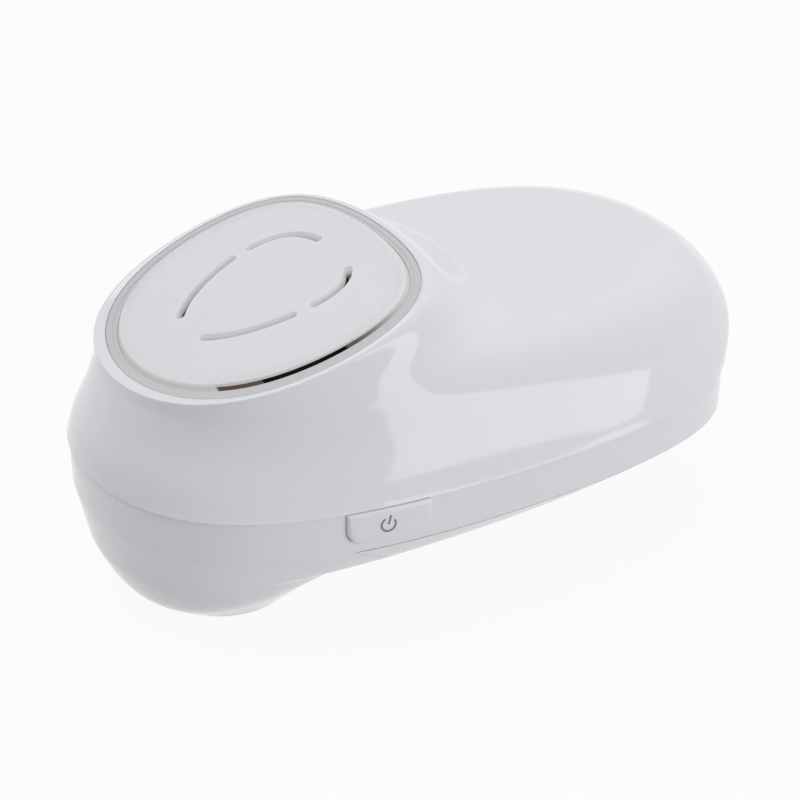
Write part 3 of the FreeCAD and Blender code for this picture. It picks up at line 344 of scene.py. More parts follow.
def modified(piece, kind, **settings):
    """Add one modifier, set it and apply it."""
    activate(piece)
    modifier = piece.modifiers.new(kind.title(), kind)
    for key, value in settings.items():
        setattr(modifier, key, value)
    bpy.ops.object.modifier_apply(modifier=modifier.name)
    return piece


def cut(piece, *tools, operation="DIFFERENCE"):
    """Take the tools out of a piece, or keep only what lies in them, and delete the tools."""
    for tool in tools:
        modified(piece, "BOOLEAN", operation=operation, solver="EXACT", object=tool)
        bpy.data.objects.remove(tool, do_unlink=True)
    return piece


def smooth(piece, angle=30):
    """Round shading, with edges sharper than the angle kept."""
    activate(piece)
    bpy.ops.object.shade_smooth_by_angle(angle=math.radians(angle))
    return piece


def upright(radius, bottom, top, x=0.0, y=0.0, vertices=ROUND):
    """A plain cutter: an upright cylinder between two heights."""
    deselect()
    bpy.ops.mesh.primitive_cylinder_add(vertices=vertices, radius=radius, depth=top - bottom,
                                        location=(x, y, (top + bottom) / 2))
    bpy.ops.object.transform_apply()
    return bpy.context.object


def slab(lowest, highest):
    """A plain cutter: a box between two corners."""
    deselect()
    middle = (Vector(lowest) + Vector(highest)) / 2
    bpy.ops.mesh.primitive_cube_add(size=1, location=middle)
    piece = bpy.context.object
    piece.scale = Vector(highest) - Vector(lowest)
    bpy.ops.object.transform_apply()
    return piece


def finish_piece(piece, body, slot, *nodes):
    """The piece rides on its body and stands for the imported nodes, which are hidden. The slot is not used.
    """
    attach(piece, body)
    if nodes:
        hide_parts(*nodes)
    print("%-16s %6d faces" % (piece.name, len(piece.data.polygons)))
    return piece


# %% [markdown]
# ## Upper case half
#
# On the real object this is one moulding: its wall turns over at the lip, drops into the recess of the
# light ring and comes back inside. So the skin is one closed round: up the outside, over the soft bead of
# the lip, down the recess to the ledge, and down the inside to the parting line. The bead is a curve from
# the wall to the recess, drawn towards the sharp corner between them. A small round at the lower edge
# catches the light as a mould's does.

# %% Upper case
EDGE_ROUND = 0.25 * MM
ROUND_SHARE = 0.3
BEAD_LEVELS = 4
LIP_DRAFT = 0.1 * MM
RECESS_SHARE = -0.04
LEDGE_SHARE = 0.7
LEDGE_DROP = 0.8 * MM
LEDGE_WALL = 1.5 * MM
dressed_form = UPPER_FORM[:-1] + [lip_level(LIP_WIDE, LIP_SINK)]
dressed_form[-2][0] = dressed_form[-1][0] - LIP_DRAFT
dressed_form[-2][3] = dressed_form[-1][3] + LIP_DRAFT
outside = smooth_levels(dressed_form, 56)
upper_rings = [ring_of(grown(SEAM_LEVEL, -SHELL_WALL)), ring_of(grown(SEAM_LEVEL, -EDGE_ROUND)),
               ring_of(grown(SEAM_LEVEL, -EDGE_ROUND * ROUND_SHARE, EDGE_ROUND * ROUND_SHARE)),
               ring_of(grown(SEAM_LEVEL, 0, EDGE_ROUND))]
upper_rings += [ring_of(curve) for curve in outside[1:-BEAD_LEVELS]]
bead_foot = ring_of(outside[-BEAD_LEVELS])
bead_corner = ring_of(outside[-1])
bead_inside = tilted(ring_of(pod_level(RECESS_SHARE, -EDGE_SINK)))
for share in np.linspace(0, 1, 9):
    upper_rings.append([foot.lerp(corner, share).lerp(corner.lerp(inner, share), share)
                        for foot, corner, inner in zip(bead_foot, bead_corner, bead_inside)])
ledge_depth = RING_DEPTH + LEDGE_DROP
for share, height in ((RECESS_SHARE, -EDGE_SINK - LIP_DRAFT), (RECESS_SHARE, -ledge_depth),
                      (LEDGE_SHARE, -ledge_depth), (LEDGE_SHARE, -ledge_depth - LEDGE_WALL)):
    upper_rings.append(tilted(ring_of(pod_level(share, height))))
inside = lining(UPPER_FORM, SHELL_WALL, 1)
inside[0] = grown(SEAM_LEVEL, -SHELL_WALL)
upper_rings += [ring_of(curve) for curve in reversed(smooth_levels(inside[:-1], 24))]
upper_case = skin("upper_case", upper_rings, closed=True)
smooth(upper_case, 35)
finish_piece(upper_case, "case", "case_white", "upper_shell")

# %% [markdown]
# ## Lower case half
#
# The band and the round probe head are one skin as well, closed through the opening for the transducer and
# back up the inside. The belly of the tail belongs to the battery door, so it is cut away outside a
# cylinder round the probe head. The button, the volume wheel and the headphone socket have their openings
# in the band.

# %% Openings of the lower case
BUTTON_STATION = 13.85 * MM
BUTTON_LENGTH = 15.3 * MM
BUTTON_HEIGHT = 6.0 * MM
BUTTON_CORNER = 2.6 * MM
BUTTON_PROUD = 0.6 * MM
BUTTON_SLACK = 0.13 * MM
BUTTON_TOP = 0.06 * MM
WINDOW_INNER = -28.5 * MM
WINDOW_OUTER = -50 * MM
TOP_MARGIN = 1 * MM
WHEEL_SLACK = 0.4 * MM
JACK_SLACK = 0.2 * MM
JACK_DEPTH = 20 * MM
wheel_middle = (low("volume_wheel") + high("volume_wheel")) / 2
wheel_radius = (high("volume_wheel").x - low("volume_wheel").x) / 2
jack_middle = (low("headphone_jack") + high("headphone_jack")) / 2
JACK_NOSE = 2.4 * MM


def quarter_turns(steps):
    """Angles that go a quarter round, in even steps."""
    return [math.pi / 2 * i / steps for i in range(steps + 1)]


# the upper half overhangs the band and shades the gap over the button, so that gap is the narrowest
def rounded_window(grow, corner_steps=8):
    """Corners of the button's outline, seen from the side: square above, rounded below."""
    left = BUTTON_STATION - BUTTON_LENGTH / 2 - grow
    right = BUTTON_STATION + BUTTON_LENGTH / 2 + grow
    top = SEAM - BUTTON_TOP
    bottom = SEAM - BUTTON_HEIGHT - grow
    radius = max(BUTTON_CORNER + grow, 0.05 * MM)
    points = [(left, top), (left, bottom + radius)]
    turns = quarter_turns(corner_steps)[1:]
    points += [(left + radius * (1 - math.cos(t)), bottom + radius * (1 - math.sin(t))) for t in turns]
    points += [(right - radius * (1 - math.sin(t)), bottom + radius * (1 - math.cos(t))) for t in turns]
    points += [(right, bottom + radius), (right, top)]
    steps = 12
    points += [(right + (left - right) * i / steps, top) for i in range(1, steps)]
    return points


def side_prism(name, outline, near, far, extra_top=0.0):
    """A cutter that runs along Y through an outline in X and Z."""
    rings = [[Vector((x, y, z + (extra_top if z > SEAM - 0.5 * MM else 0))) for x, z in outline]
             for y in (near, far)]
    return skin(name, rings, capped=True)


# %% Lower case
FACE_WINDOW = 11.6 * MM
FACE_FLANGE = 13.0 * MM
FAR_LOW = (-0.2, -0.1, -0.01)
FAR_SIDE = (0.2, 0.1)
FAR_BELOW = -0.02
lower_out = smooth_levels(LOWER_FORM, 44)
lower_rings = [ring_of(grown(SEAM_LEVEL, -SHELL_WALL)), ring_of(grown(BAND_LEVEL, -EDGE_ROUND)),
               ring_of(grown(BAND_LEVEL, -EDGE_ROUND * ROUND_SHARE, -EDGE_ROUND * ROUND_SHARE)),
               ring_of(grown(BAND_LEVEL, 0, -EDGE_ROUND))]
for share in (0.25, 0.5, 0.75, 0.92):
    lower_rings.append(ring_of(BAND_LEVEL + (CREASE_LEVEL - BAND_LEVEL) * share))
lower_rings += [ring_of(curve) for curve in lower_out]


def probe_ring(radius, height):
    """A circle round the probe axis."""
    return ring_of(level(-radius, 0, radius, radius, height, height, height, 0))


lower_rings += [probe_ring(FACE_WINDOW, FACE_STAND), probe_ring(FACE_WINDOW, SHELL_WALL),
                probe_ring(FACE_FLANGE, SHELL_WALL), probe_ring(FACE_FLANGE, 4 * SHELL_WALL)]
lower_inside = lining(LOWER_FORM, SHELL_WALL, -1)
lower_inside[0] = flat(grown(CREASE_LEVEL, -SHELL_WALL), CREASE)
last = lower_inside[-1]
lower_inside[-1] = level(*last[:4], *[4.2 * SHELL_WALL] * 3, 0.0)
lower_rings += [ring_of(curve) for curve in reversed(smooth_levels(lower_inside[:-1], 20))]
lower_rings.append(lower_rings[0])
lower_case = skin("lower_case", lower_rings, closed=True)
door_zone = slab(FAR_LOW, (*FAR_SIDE, CREASE))
cut(door_zone, upright(DOOR_RADIUS, FAR_BELOW, SEAM))
window = side_prism("button_window", rounded_window(BUTTON_SLACK), WINDOW_OUTER, WINDOW_INNER, TOP_MARGIN)
wheel_slot = upright(wheel_radius + WHEEL_SLACK, low("volume_wheel").z - WHEEL_SLACK,
                     high("volume_wheel").z + WHEEL_SLACK, wheel_middle.x, wheel_middle.y, 64)
deselect()
bpy.ops.mesh.primitive_cylinder_add(vertices=48, radius=JACK_NOSE + JACK_SLACK, depth=JACK_DEPTH,
                                    location=(jack_middle.x, HALF_WIDTH, jack_middle.z),
                                    rotation=(math.pi / 2, 0, 0))
bpy.ops.object.transform_apply()
jack_hole = bpy.context.object
cut(lower_case, door_zone, window, wheel_slot, jack_hole)
smooth(lower_case, 32)
finish_piece(lower_case, "case", "case_white", "lower_shell")

# %% [markdown]
# The floor over the door, with the battery bay, the posts and the slots for the hooks, shows only when the
# door is slid back. It is kept as imported: a copy of the node is merged, and what lies inside the outer wall
# is kept.

# %% Floor and bay
def merged_copy(name, node):
    """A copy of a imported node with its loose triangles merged."""
    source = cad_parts[node]
    piece = source.copy()
    piece.data = source.data.copy()
    piece.name = name
    piece.data.name = name
    bpy.context.scene.collection.objects.link(piece)
    piece.parent = None
    piece.matrix_world = Matrix.Identity(4)
    piece.hide_render = False
    piece.hide_viewport = False
    activate(piece)
    bpy.ops.object.mode_set(mode="EDIT")
    bpy.ops.mesh.select_all(action="SELECT")
    bpy.ops.mesh.remove_doubles(threshold=1e-7)
    bpy.ops.object.mode_set(mode="OBJECT")
    return piece


pan = grown(SEAM_LEVEL, -SHELL_WALL - 0.1 * MM)
pan_below = CREASE - 1 * MM
pan_above = SEAM + 15 * MM
pan_rings = [ring_of(flat(pan, height)) for height in (pan_below, pan_above)]
inner_space = skin("inner_space", pan_rings, capped=True)
lower_floor = merged_copy("lower_floor", "lower_shell")
cut(lower_floor, inner_space, operation="INTERSECT")
smooth(lower_floor, 30)
finish_piece(lower_floor, "case", "case_white", "lower_shell")

# %% [markdown]
# ## Battery door
#
# The door is the belly of the tail. Its outside is the same hull, so it is made as a closed hull first, and
# only what lies outside the probe head is kept. It is a plain thin-walled hull: the ribs, hooks and
# thumb-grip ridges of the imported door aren't repeated on it.

# %% Door
door_top = CREASE - DOOR_GAP
door_rings = [ring_of(curve) for curve in lower_out]
battery_cover = skin("battery_cover", door_rings, capped=True)
door_keep = slab(FAR_LOW, (*FAR_SIDE, door_top))
cut(door_keep, upright(DOOR_RADIUS + DOOR_GAP, FAR_BELOW, SEAM))
cut(battery_cover, door_keep, operation="INTERSECT")
door_inside = lining(LOWER_FORM, DOOR_WALL, -1)
door_inside[0] = flat(grown(CREASE_LEVEL, -DOOR_WALL), CREASE)
door_inside[-1] = level(*door_inside[-1][:4], *[FACE_STAND + DOOR_WALL] * 3, 0.0)
hollow = skin("door_hollow", [ring_of(curve) for curve in smooth_levels(door_inside, 28)], capped=True)
cut(hollow, upright(DOOR_RADIUS + DOOR_GAP + DOOR_WALL, FAR_BELOW, SEAM))
cut(battery_cover, hollow)
smooth(battery_cover, 32)
finish_piece(battery_cover, "door", "case_white", "battery_door")

# %% [markdown]
# ## Speaker pod
#
# The light ring is a flat translucent band, sunk below the lip, with a fine step along its middle. The disc
# is a shallow dome. Its edge lies below the plane of the ring but above the band, and under it a pale skirt
# slopes in from the band and closes the sound gap, apart from two vents with dark felt behind them. Most
# outlines lie between the lip's inner edge and the disc's edge and are given as a share of the way between
# these two. All are drawn in the plane of the ring and tilted into place at the end, so their profiles stay
# plain.


# %% Light ring
def pod_skin(name, levels, count=192):
    """A closed piece of the pod: its outlines in the plane of the ring, taken round and tilted into place."""
    rings = [tilted(ring_of(curve, count)) for curve in levels]
    return skin(name, rings + [rings[0]], closed=True)


STEP = 0.12 * MM
CHAMFER = 0.12 * MM
RING_TOP = -EDGE_SINK - 0.05 * MM
STEP_TOP = RING_TOP - STEP
ring_profile = ((-0.02, -RING_DEPTH), (-0.02, RING_TOP - CHAMFER), (0.02, RING_TOP), (0.44, RING_TOP),
                (0.48, STEP_TOP), (0.76, STEP_TOP), (0.80, STEP_TOP - CHAMFER), (0.80, -RING_DEPTH))
light_ring = pod_skin("ring_band", [pod_level(share, height) for share, height in ring_profile])
smooth(light_ring, 30)
finish_piece(light_ring, "case", "ring_clear", "light_ring")

# %% Speaker disc
disc_middle = Vector(((DISC_LEVEL[0] + DISC_LEVEL[2]) / 2, 0, 0))
sag = DOME_RADIUS - math.sqrt(DOME_RADIUS ** 2 - DISC_LEVEL[3] ** 2)


def dome(point):
    """Height of the domed disc at a point."""
    reach = math.hypot(point.x - disc_middle.x, point.y)
    return DISC_RISE + sag - DOME_RADIUS + math.sqrt(DOME_RADIUS ** 2 - reach ** 2)


def disc_ring(by, drop, scale=1.0):
    """One ring of the disc: offset or scaled from its outline, at the height of the dome less a drop."""
    ring = []
    for point in ring_of(grown(DISC_LEVEL, by), 192):
        point = disc_middle + (point - disc_middle) * scale
        point.z = dome(point) - drop
        ring.append(RING_PLANE @ point)
    return ring


DISC_EDGE = 0.35 * MM
RIM_WALL = 0.6 * MM
RIM_STEP = 1.5 * MM
disc_rings = [disc_ring(-RIM_STEP, DISC_WALL, scale) for scale in (0.5, 1.0)]
disc_rings += [disc_ring(-RIM_STEP, RIM_WALL), disc_ring(0, RIM_WALL)]
for turn in quarter_turns(5):
    disc_rings.append(disc_ring(-DISC_EDGE * (1 - math.cos(turn)), DISC_EDGE * (1 - math.sin(turn))))
disc_rings += [disc_ring(-DISC_EDGE, 0, scale) for scale in (0.97, 0.9, 0.75, 0.6, 0.45, 0.3, 0.15)]
speaker_disc = skin("speaker_disc", disc_rings, capped=True)

# %% Skirt and vents
SKIRT_SET = 0.1 * MM
SKIRT_WALL = 0.8 * MM
SKIRT_TOP = DISC_RISE - RIM_WALL
SKIRT_EDGE = RING_TOP - 0.3 * MM
SKIRT_FOOT = -3.4 * MM
SKIRT_SHARE = 0.83
FELT_WALL = 0.4 * MM
VENT_FRONT = -2.7 * MM
VENT_REAR = 12.3 * MM
VENT_TOP = -0.3 * MM


def disc_level(by, height):
    """The outline of the disc moved out by an amount, at a height."""
    return grown(DISC_LEVEL, by, height)


disc_skirt = pod_skin("disc_skirt", [
    pod_level(SKIRT_SHARE, SKIRT_FOOT), pod_level(SKIRT_SHARE, SKIRT_EDGE), disc_level(-SKIRT_SET, SKIRT_TOP),
    disc_level(-SKIRT_SET - SKIRT_WALL, SKIRT_TOP), disc_level(-SKIRT_SET - SKIRT_WALL, SKIRT_FOOT)])
vent = slab((VENT_FRONT, -RING_HALF, SKIRT_FOOT + 0.3 * MM), (VENT_REAR, RING_HALF, VENT_TOP))
vent.data.transform(RING_PLANE)
cut(disc_skirt, vent)
smooth(disc_skirt, 30)
finish_piece(disc_skirt, "case", "disc_white")
felt_out = -2 * SKIRT_SET - SKIRT_WALL
felt_in = felt_out - FELT_WALL
felt_top = SKIRT_TOP - 0.1 * MM
vent_felt = pod_skin("vent_felt", [disc_level(felt_out, SKIRT_FOOT), disc_level(felt_out, felt_top),
                                   disc_level(felt_in, felt_top), disc_level(felt_in, SKIRT_FOOT)])
smooth(vent_felt, 30)
finish_piece(vent_felt, "case", "foam")

# %% Sound slots
SLOT_FRONT = 5.74 * MM
SLOT_REAR = 25.8 * MM
SLOT_WIDEST = 15.0 * MM
SLOT_HALF = 12.7 * MM
SLOT_WIDTH = 1.5 * MM
SLOT_ANGLES = ((20, 88), (102, 157), (200, 253), (267, 318))
# how much wider than the slot the cutter is, and its height over the dome: it opens upwards to a soft edge
SLOT_PROFILE = ((0, -3 * MM), (0, -0.35 * MM), (0.06 * MM, -0.15 * MM), (0.25 * MM, 0.02 * MM),
                (0.25 * MM, 1 * MM))


def slot_outline(start, finish, widen):
    """The rounded outline of one slot, between two angles of the oval path."""
    path = level(-SLOT_FRONT, SLOT_WIDEST, SLOT_REAR, SLOT_HALF, 0, 0, 0, 0)
    half = SLOT_WIDTH / 2 + widen
    steps = 20
    middle = [level_point(start + (finish - start) * i / steps, path) for i in range(steps + 1)]
    side = []
    for i, point in enumerate(middle):
        along = (middle[min(i + 1, steps)] - middle[max(i - 1, 0)]).normalized()
        side.append((point, along, Vector((along.y, -along.x, 0))))
    outline = [point + normal * half for point, along, normal in side]
    turns = [math.pi * i / 8 for i in range(1, 8)]
    point, along, normal = side[-1]
    outline += [point + (normal * math.cos(t) + along * math.sin(t)) * half for t in turns]
    outline += [point - normal * half for point, along, normal in reversed(side)]
    point, along, normal = side[0]
    outline += [point - (normal * math.cos(t) + along * math.sin(t)) * half for t in turns]
    return outline


for start, finish in SLOT_ANGLES:
    rings = []
    for widen, lift in SLOT_PROFILE:
        outline = slot_outline(math.radians(start), math.radians(finish), widen)
        rings.append([RING_PLANE @ Vector((p.x, p.y, dome(p) + lift)) for p in outline])
    cut(speaker_disc, skin("slot_cutter", rings, capped=True))
smooth(speaker_disc, 30)
finish_piece(speaker_disc, "case", "disc_white", "speaker_grille")

# %% [markdown]
# ## Power button
#
# The button follows the curve of the band and stands a little out of it. It is built like the disc: rings
# from its outline inward, first round the soft edge and then over the face, each point placed on the band
# by its station and height. The symbol is the plain ring and bar of any power switch, laid on the face as
# thin print.


# %% Places on the band
def band_point(x, z, out):
    """A point on the button side of the band, moved out along Y."""
    low_turn, high_turn = 0.0, math.pi
    for _ in range(50):
        middle = (low_turn + high_turn) / 2
        if level_point(middle, SEAM_LEVEL).x > x:
            low_turn = middle
        else:
            high_turn = middle
    return Vector((x, -level_point(low_turn, SEAM_LEVEL).y - out, z))


# %% Button
BUTTON_EDGE = 0.6 * MM
BUTTON_WALL = 2.0 * MM
button_middle = Vector((BUTTON_STATION, 0, SEAM - BUTTON_HEIGHT / 2))


def button_ring(inset, out, scale=1.0):
    """One ring of the button: its outline moved in or scaled to its middle, at a height over the band."""
    ring = []
    for x, z in rounded_window(-inset):
        z = min(z, SEAM - BUTTON_TOP - inset)
        x = button_middle.x + (x - button_middle.x) * scale
        z = button_middle.z + (z - button_middle.z) * scale
        ring.append(band_point(x, z, out))
    return ring


button_rings = [button_ring(0, BUTTON_PROUD - BUTTON_WALL)]
for turn in quarter_turns(5):
    button_rings.append(button_ring(BUTTON_EDGE * (1 - math.cos(turn)),
                                    BUTTON_PROUD - BUTTON_EDGE * (1 - math.sin(turn))))
button_rings += [button_ring(BUTTON_EDGE, BUTTON_PROUD, scale) for scale in (0.8, 0.5, 0.25)]
button_cap = skin("button_cap", button_rings, capped=True)
smooth(button_cap, 40)
finish_piece(button_cap, "button", "button_white", "power_button")

# %% Power symbol
SYMBOL_RADIUS = 1.3 * MM
SYMBOL_STROKE = 0.38 * MM
SYMBOL_SHIFT = 0.6 * MM
SYMBOL_TURN = math.radians(-14)
ARC_START = 130
ARC_SWEEP = 280
ARC_STEPS = 28
BAR_REACH = (0.05 * MM, 0.95 * MM, 1.85 * MM)
PRINT = 0.03 * MM


def symbol_strip(name, path):
    """A printed stroke along a path in X and Z, on the face of the button."""
    half = SYMBOL_STROKE / 2
    left, right = [], []
    for i, (x, z) in enumerate(path):
        ahead = path[min(i + 1, len(path) - 1)]
        behind = path[max(i - 1, 0)]
        along = Vector((ahead[0] - behind[0], ahead[1] - behind[1])).normalized()
        left.append((x - along.y * half, z + along.x * half))
        right.append((x + along.y * half, z - along.x * half))
    outline = left + right[::-1]
    rings = [[band_point(x, z, BUTTON_PROUD + lift) for x, z in outline] for lift in (-PRINT, PRINT)]
    return skin(name, rings, capped=True)


symbol_x = button_middle.x - SYMBOL_SHIFT
arc = [math.radians(ARC_START + ARC_SWEEP * i / ARC_STEPS) for i in range(ARC_STEPS + 1)]


def symbol_path(*steps):
    """Places on the face, from angles and distances round the middle of the symbol, which leans a little."""
    return [(symbol_x + reach * math.cos(turn + SYMBOL_TURN),
             button_middle.z + reach * math.sin(turn + SYMBOL_TURN)) for turn, reach in steps]


symbol_arc = symbol_strip("symbol_arc", symbol_path(*[(turn, SYMBOL_RADIUS) for turn in arc]))
upward = math.pi / 2
symbol_bar = symbol_strip("symbol_bar", symbol_path(*[(upward, reach) for reach in BAR_REACH]))
for piece in (symbol_arc, symbol_bar):
    finish_piece(piece, "button", "wheel_grey")

# %% [markdown]
# ## Finishes
#
# A small class wraps a node socket, so that shader maths can be written as plain sums, and one method adds
# any other node with its settings and inputs. The case is glossy white plastic: an even white with a hint
# of lavender, a clear gloss, and a very fine waviness in the surface that keeps reflections from looking
# drawn. Thin walls of the speaker disc and its skirt let light through. They are given a weak glow of their
# own instead. On the disc it starts a little below the dome, so the walls of the slots and the rim glow and
# the top doesn't.


# %% Shader helpers
class Value:
    """A node socket that takes part in Python sums."""

    def __init__(self, shader, socket):
        self.shader = shader
        self.socket = socket

    def sum(self, kind, other, swapped=False):
        pair = (other, self) if swapped else (self, other)
        return self.shader.add("ShaderNodeMath", {"operation": kind}, {0: pair[0], 1: pair[1]})

    def __add__(self, other):
        return self.sum("ADD", other)

    def __radd__(self, other):
        return self.sum("ADD", other, True)

    def __sub__(self, other):
        return self.sum("SUBTRACT", other)

    def __rsub__(self, other):
        return self.sum("SUBTRACT", other, True)

    def __mul__(self, other):
        return self.sum("MULTIPLY", other)

    def __rmul__(self, other):
        return self.sum("MULTIPLY", other, True)


class Finish:
    """One material and the nodes in it."""

    def __init__(self, name, **constants):
        self.material = bpy.data.materials.new(name)
        self.material.use_nodes = True
        self.tree = self.material.node_tree
        self.shader = self.tree.nodes["Principled BSDF"]
        for key, value in constants.items():
            self.shader.inputs[key.replace("_", " ")].default_value = value

    def add(self, kind, settings, inputs, output=0):
        """Any node: its settings first, then the values or links of its sockets."""
        node = self.tree.nodes.new(kind)
        for key, value in settings.items():
            setattr(node, key, value)
        for key, value in inputs.items():
            if isinstance(value, Value):
                self.tree.links.new(value.socket, node.inputs[key])
            else:
                node.inputs[key].default_value = value
        return Value(self, node.outputs[output])

    def place(self):
        """Where a point lies on the object."""
        return self.add("ShaderNodeTexCoord", {}, {}, "Object")

    def noise(self, scale, detail=2.0, roughness=0.5):
        """Soft noise over the object, from 0 to 1."""
        return self.add("ShaderNodeTexNoise", {}, {
            "Vector": self.place(), "Scale": scale, "Detail": detail, "Roughness": roughness}, "Fac")

    def mix(self, factor, first, second):
        """A colour between two colours."""
        return self.add("ShaderNodeMix", {"data_type": "RGBA"}, {0: factor, 6: first, 7: second}, 2)

    def feed(self, socket, value):
        """Let a value vary one socket of the surface."""
        self.tree.links.new(value.socket, self.shader.inputs[socket])

    def bump(self, height, strength, distance):
        """Small relief that feeds the normal."""
        self.feed("Normal", self.add("ShaderNodeBump", {}, {
            "Height": height, "Strength": strength, "Distance": distance}))

    def paint(self, *pieces):
        """Give this finish to pieces."""
        for piece in pieces:
            piece.data.materials.clear()
            piece.data.materials.append(self.material)


# %% White plastic
def white_plastic(name, shade, roughness, grain):
    """Moulded white plastic, from glossy to matt."""
    finish = Finish(name, IOR=1.47)
    pale = (*shade, 1)
    deep = (shade[0] * 0.985, shade[1] * 0.98, shade[2] * 0.985, 1)
    finish.feed("Base Color", finish.mix(finish.noise(40, 3), pale, deep))
    finish.feed("Roughness", finish.noise(180, 3) * 0.04 + roughness)
    finish.bump(finish.noise(900, 2) + finish.noise(60, 1) * 0.5, grain, 0.02 * MM)
    return finish


CASE_SHADE = (0.80, 0.795, 0.835)
DISC_SHADE = (0.77, 0.765, 0.80)
THIN_WALL_GLOW = (0.95, 0.92, 0.90, 1)
BLACK = (0, 0, 0, 1)
GLOW_DEPTH = (0.1 * MM, 0.5 * MM)
gloss_white = white_plastic("gloss_white", CASE_SHADE, 0.06, 0.01)
gloss_white.paint(upper_case, lower_case, battery_cover)
button_white = white_plastic("button_gloss", CASE_SHADE, 0.16, 0.02)
button_white.paint(button_cap)
matt_white = white_plastic("matt_white", (0.80, 0.80, 0.81), 0.42, 0.12)
matt_white.paint(lower_floor)
disc_white = white_plastic("disc_white", DISC_SHADE, 0.42, 0.12)
disc_white.shader.inputs["Emission Strength"].default_value = 0.17
disc_white.shader.inputs["Subsurface Weight"].default_value = 0.8
disc_white.shader.inputs["Subsurface Radius"].default_value = (1.0, 1.0, 1.0)
disc_white.shader.inputs["Subsurface Scale"].default_value = 2 * MM
disc_peak = RING_PLANE @ Vector((disc_middle.x, 0, DISC_RISE + sag))
disc_up = RING_PLANE.to_3x3() @ Vector((0, 0, 1))
span = disc_white.add("ShaderNodeVectorMath", {"operation": "DISTANCE"},
                      {0: disc_white.place(), 1: disc_peak}, "Value")
rise = disc_white.add("ShaderNodeVectorMath", {"operation": "DOT_PRODUCT"},
                      {0: disc_white.place(), 1: disc_up}, "Value")
depth = disc_peak.dot(disc_up) - span * span * (0.5 / DOME_RADIUS) - rise
in_slot = disc_white.add("ShaderNodeMapRange", {"interpolation_type": "SMOOTHSTEP"}, {
    "Value": depth, "From Min": GLOW_DEPTH[0], "From Max": GLOW_DEPTH[1]})
disc_white.feed("Emission Color", disc_white.mix(in_slot, BLACK, THIN_WALL_GLOW))
disc_white.paint(speaker_disc)

# %% Ring, seat and print
clear_ring = Finish("clear_ring", IOR=1.49, Transmission_Weight=0.1)
clear_ring.feed("Base Color", clear_ring.mix(
    clear_ring.noise(120), (0.68, 0.67, 0.70, 1), (0.64, 0.63, 0.66, 1)))
clear_ring.feed("Roughness", clear_ring.noise(400, 2) * 0.1 + 0.18)
clear_ring.paint(light_ring)
print_grey = Finish("print_grey")
print_grey.feed("Base Color", print_grey.mix(
    print_grey.noise(2000), (0.20, 0.20, 0.21, 1), (0.25, 0.25, 0.26, 1)))
print_grey.feed("Roughness", print_grey.noise(900) * 0.1 + 0.4)
print_grey.paint(symbol_arc, symbol_bar)

# %% Skirt and felt
# painted shade: the pale skirt is painted brown on both sides of the vents, where the gap under the disc lies
# in shadow; its glow, painted light in place of light through the thin wall, is darkened there too
VENT_SHADE_FRONT = -8.3 * MM
VENT_SHADE_REAR = 27.0 * MM
VENT_SHADE_SOFT = 0.4 * MM
pale_skirt = Finish("pale_skirt", IOR=1.47, Emission_Strength=0.2)
station = pale_skirt.add("ShaderNodeSeparateXYZ", {}, {0: pale_skirt.place()}, "X")


def ramp(start, finish):
    """From 0 to 1 between two stations."""
    return pale_skirt.add("ShaderNodeMapRange", {"interpolation_type": "SMOOTHSTEP"}, {
        "Value": station, "From Min": start, "From Max": finish})


# painted shade: between these stations the skirt's colour and glow are darkened, where the gap lies in shadow
painted_shade = ramp(VENT_SHADE_FRONT - VENT_SHADE_SOFT, VENT_SHADE_FRONT) - ramp(VENT_REAR, VENT_SHADE_REAR)
pale_skirt.feed("Base Color", pale_skirt.mix(painted_shade, (0.46, 0.44, 0.425, 1), (0.09, 0.06, 0.05, 1)))
pale_skirt.feed("Emission Color", pale_skirt.mix(painted_shade, (1.0, 0.95, 0.92, 1), (0.03, 0.02, 0.015, 1)))
pale_skirt.feed("Roughness", pale_skirt.noise(400, 2) * 0.1 + 0.35)
pale_skirt.paint(disc_skirt)
vent_black = Finish("vent_black")
vent_black.feed("Base Color", vent_black.mix(
    vent_black.noise(1500), (0.012, 0.011, 0.011, 1), (0.02, 0.018, 0.018, 1)))
vent_black.feed("Roughness", vent_black.noise(900) * 0.1 + 0.85)
vent_black.paint(vent_felt)

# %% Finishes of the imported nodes
NODE_FINISHES = {
    "dark": ((0.03, 0.03, 0.032), 0.45, 0.0, ("switch_plunger", "volume_control", "headphone_jack",
                                              "battery_snap", "power_switch", "processor_chip")),
    "seat_pale": ((0.66, 0.62, 0.60), 0.5, 0.0, ("grille_seat",)),
    "foam_dark": ((0.05, 0.05, 0.05), 0.9, 0.0, ("door_pad", "speaker_gasket", "face_seal", "damping_block")),
    "cloth_dark": ((0.02, 0.018, 0.018), 0.95, 0.0, ("speaker_cloth", "speaker_cone")),
    "plated_steel": ((0.6, 0.6, 0.6), 0.3, 1.0, ("speaker_basket", "speaker_magnet", "shield_can",
                                                 "board_screws", "case_screws", "battery_terminals",
                                                 "power_capacitors", "transducer_cup")),
    "board_green": ((0.02, 0.12, 0.05), 0.4, 0.0, ("main_board",)),
    "led_resin": ((0.75, 0.76, 0.70), 0.3, 0.0, ("ring_leds",)),
    "wheel_light": ((0.62, 0.62, 0.64), 0.4, 0.0, ("volume_wheel",)),
    "face_resin": ((0.36, 0.37, 0.40), 0.35, 0.0, ("transducer_face",)),
    "ceramic": ((0.5, 0.4, 0.22), 0.5, 0.0, ("piezo_crystals",)),
    "battery_wrap": ((0.06, 0.065, 0.08), 0.35, 0.0, ("battery",)),
}
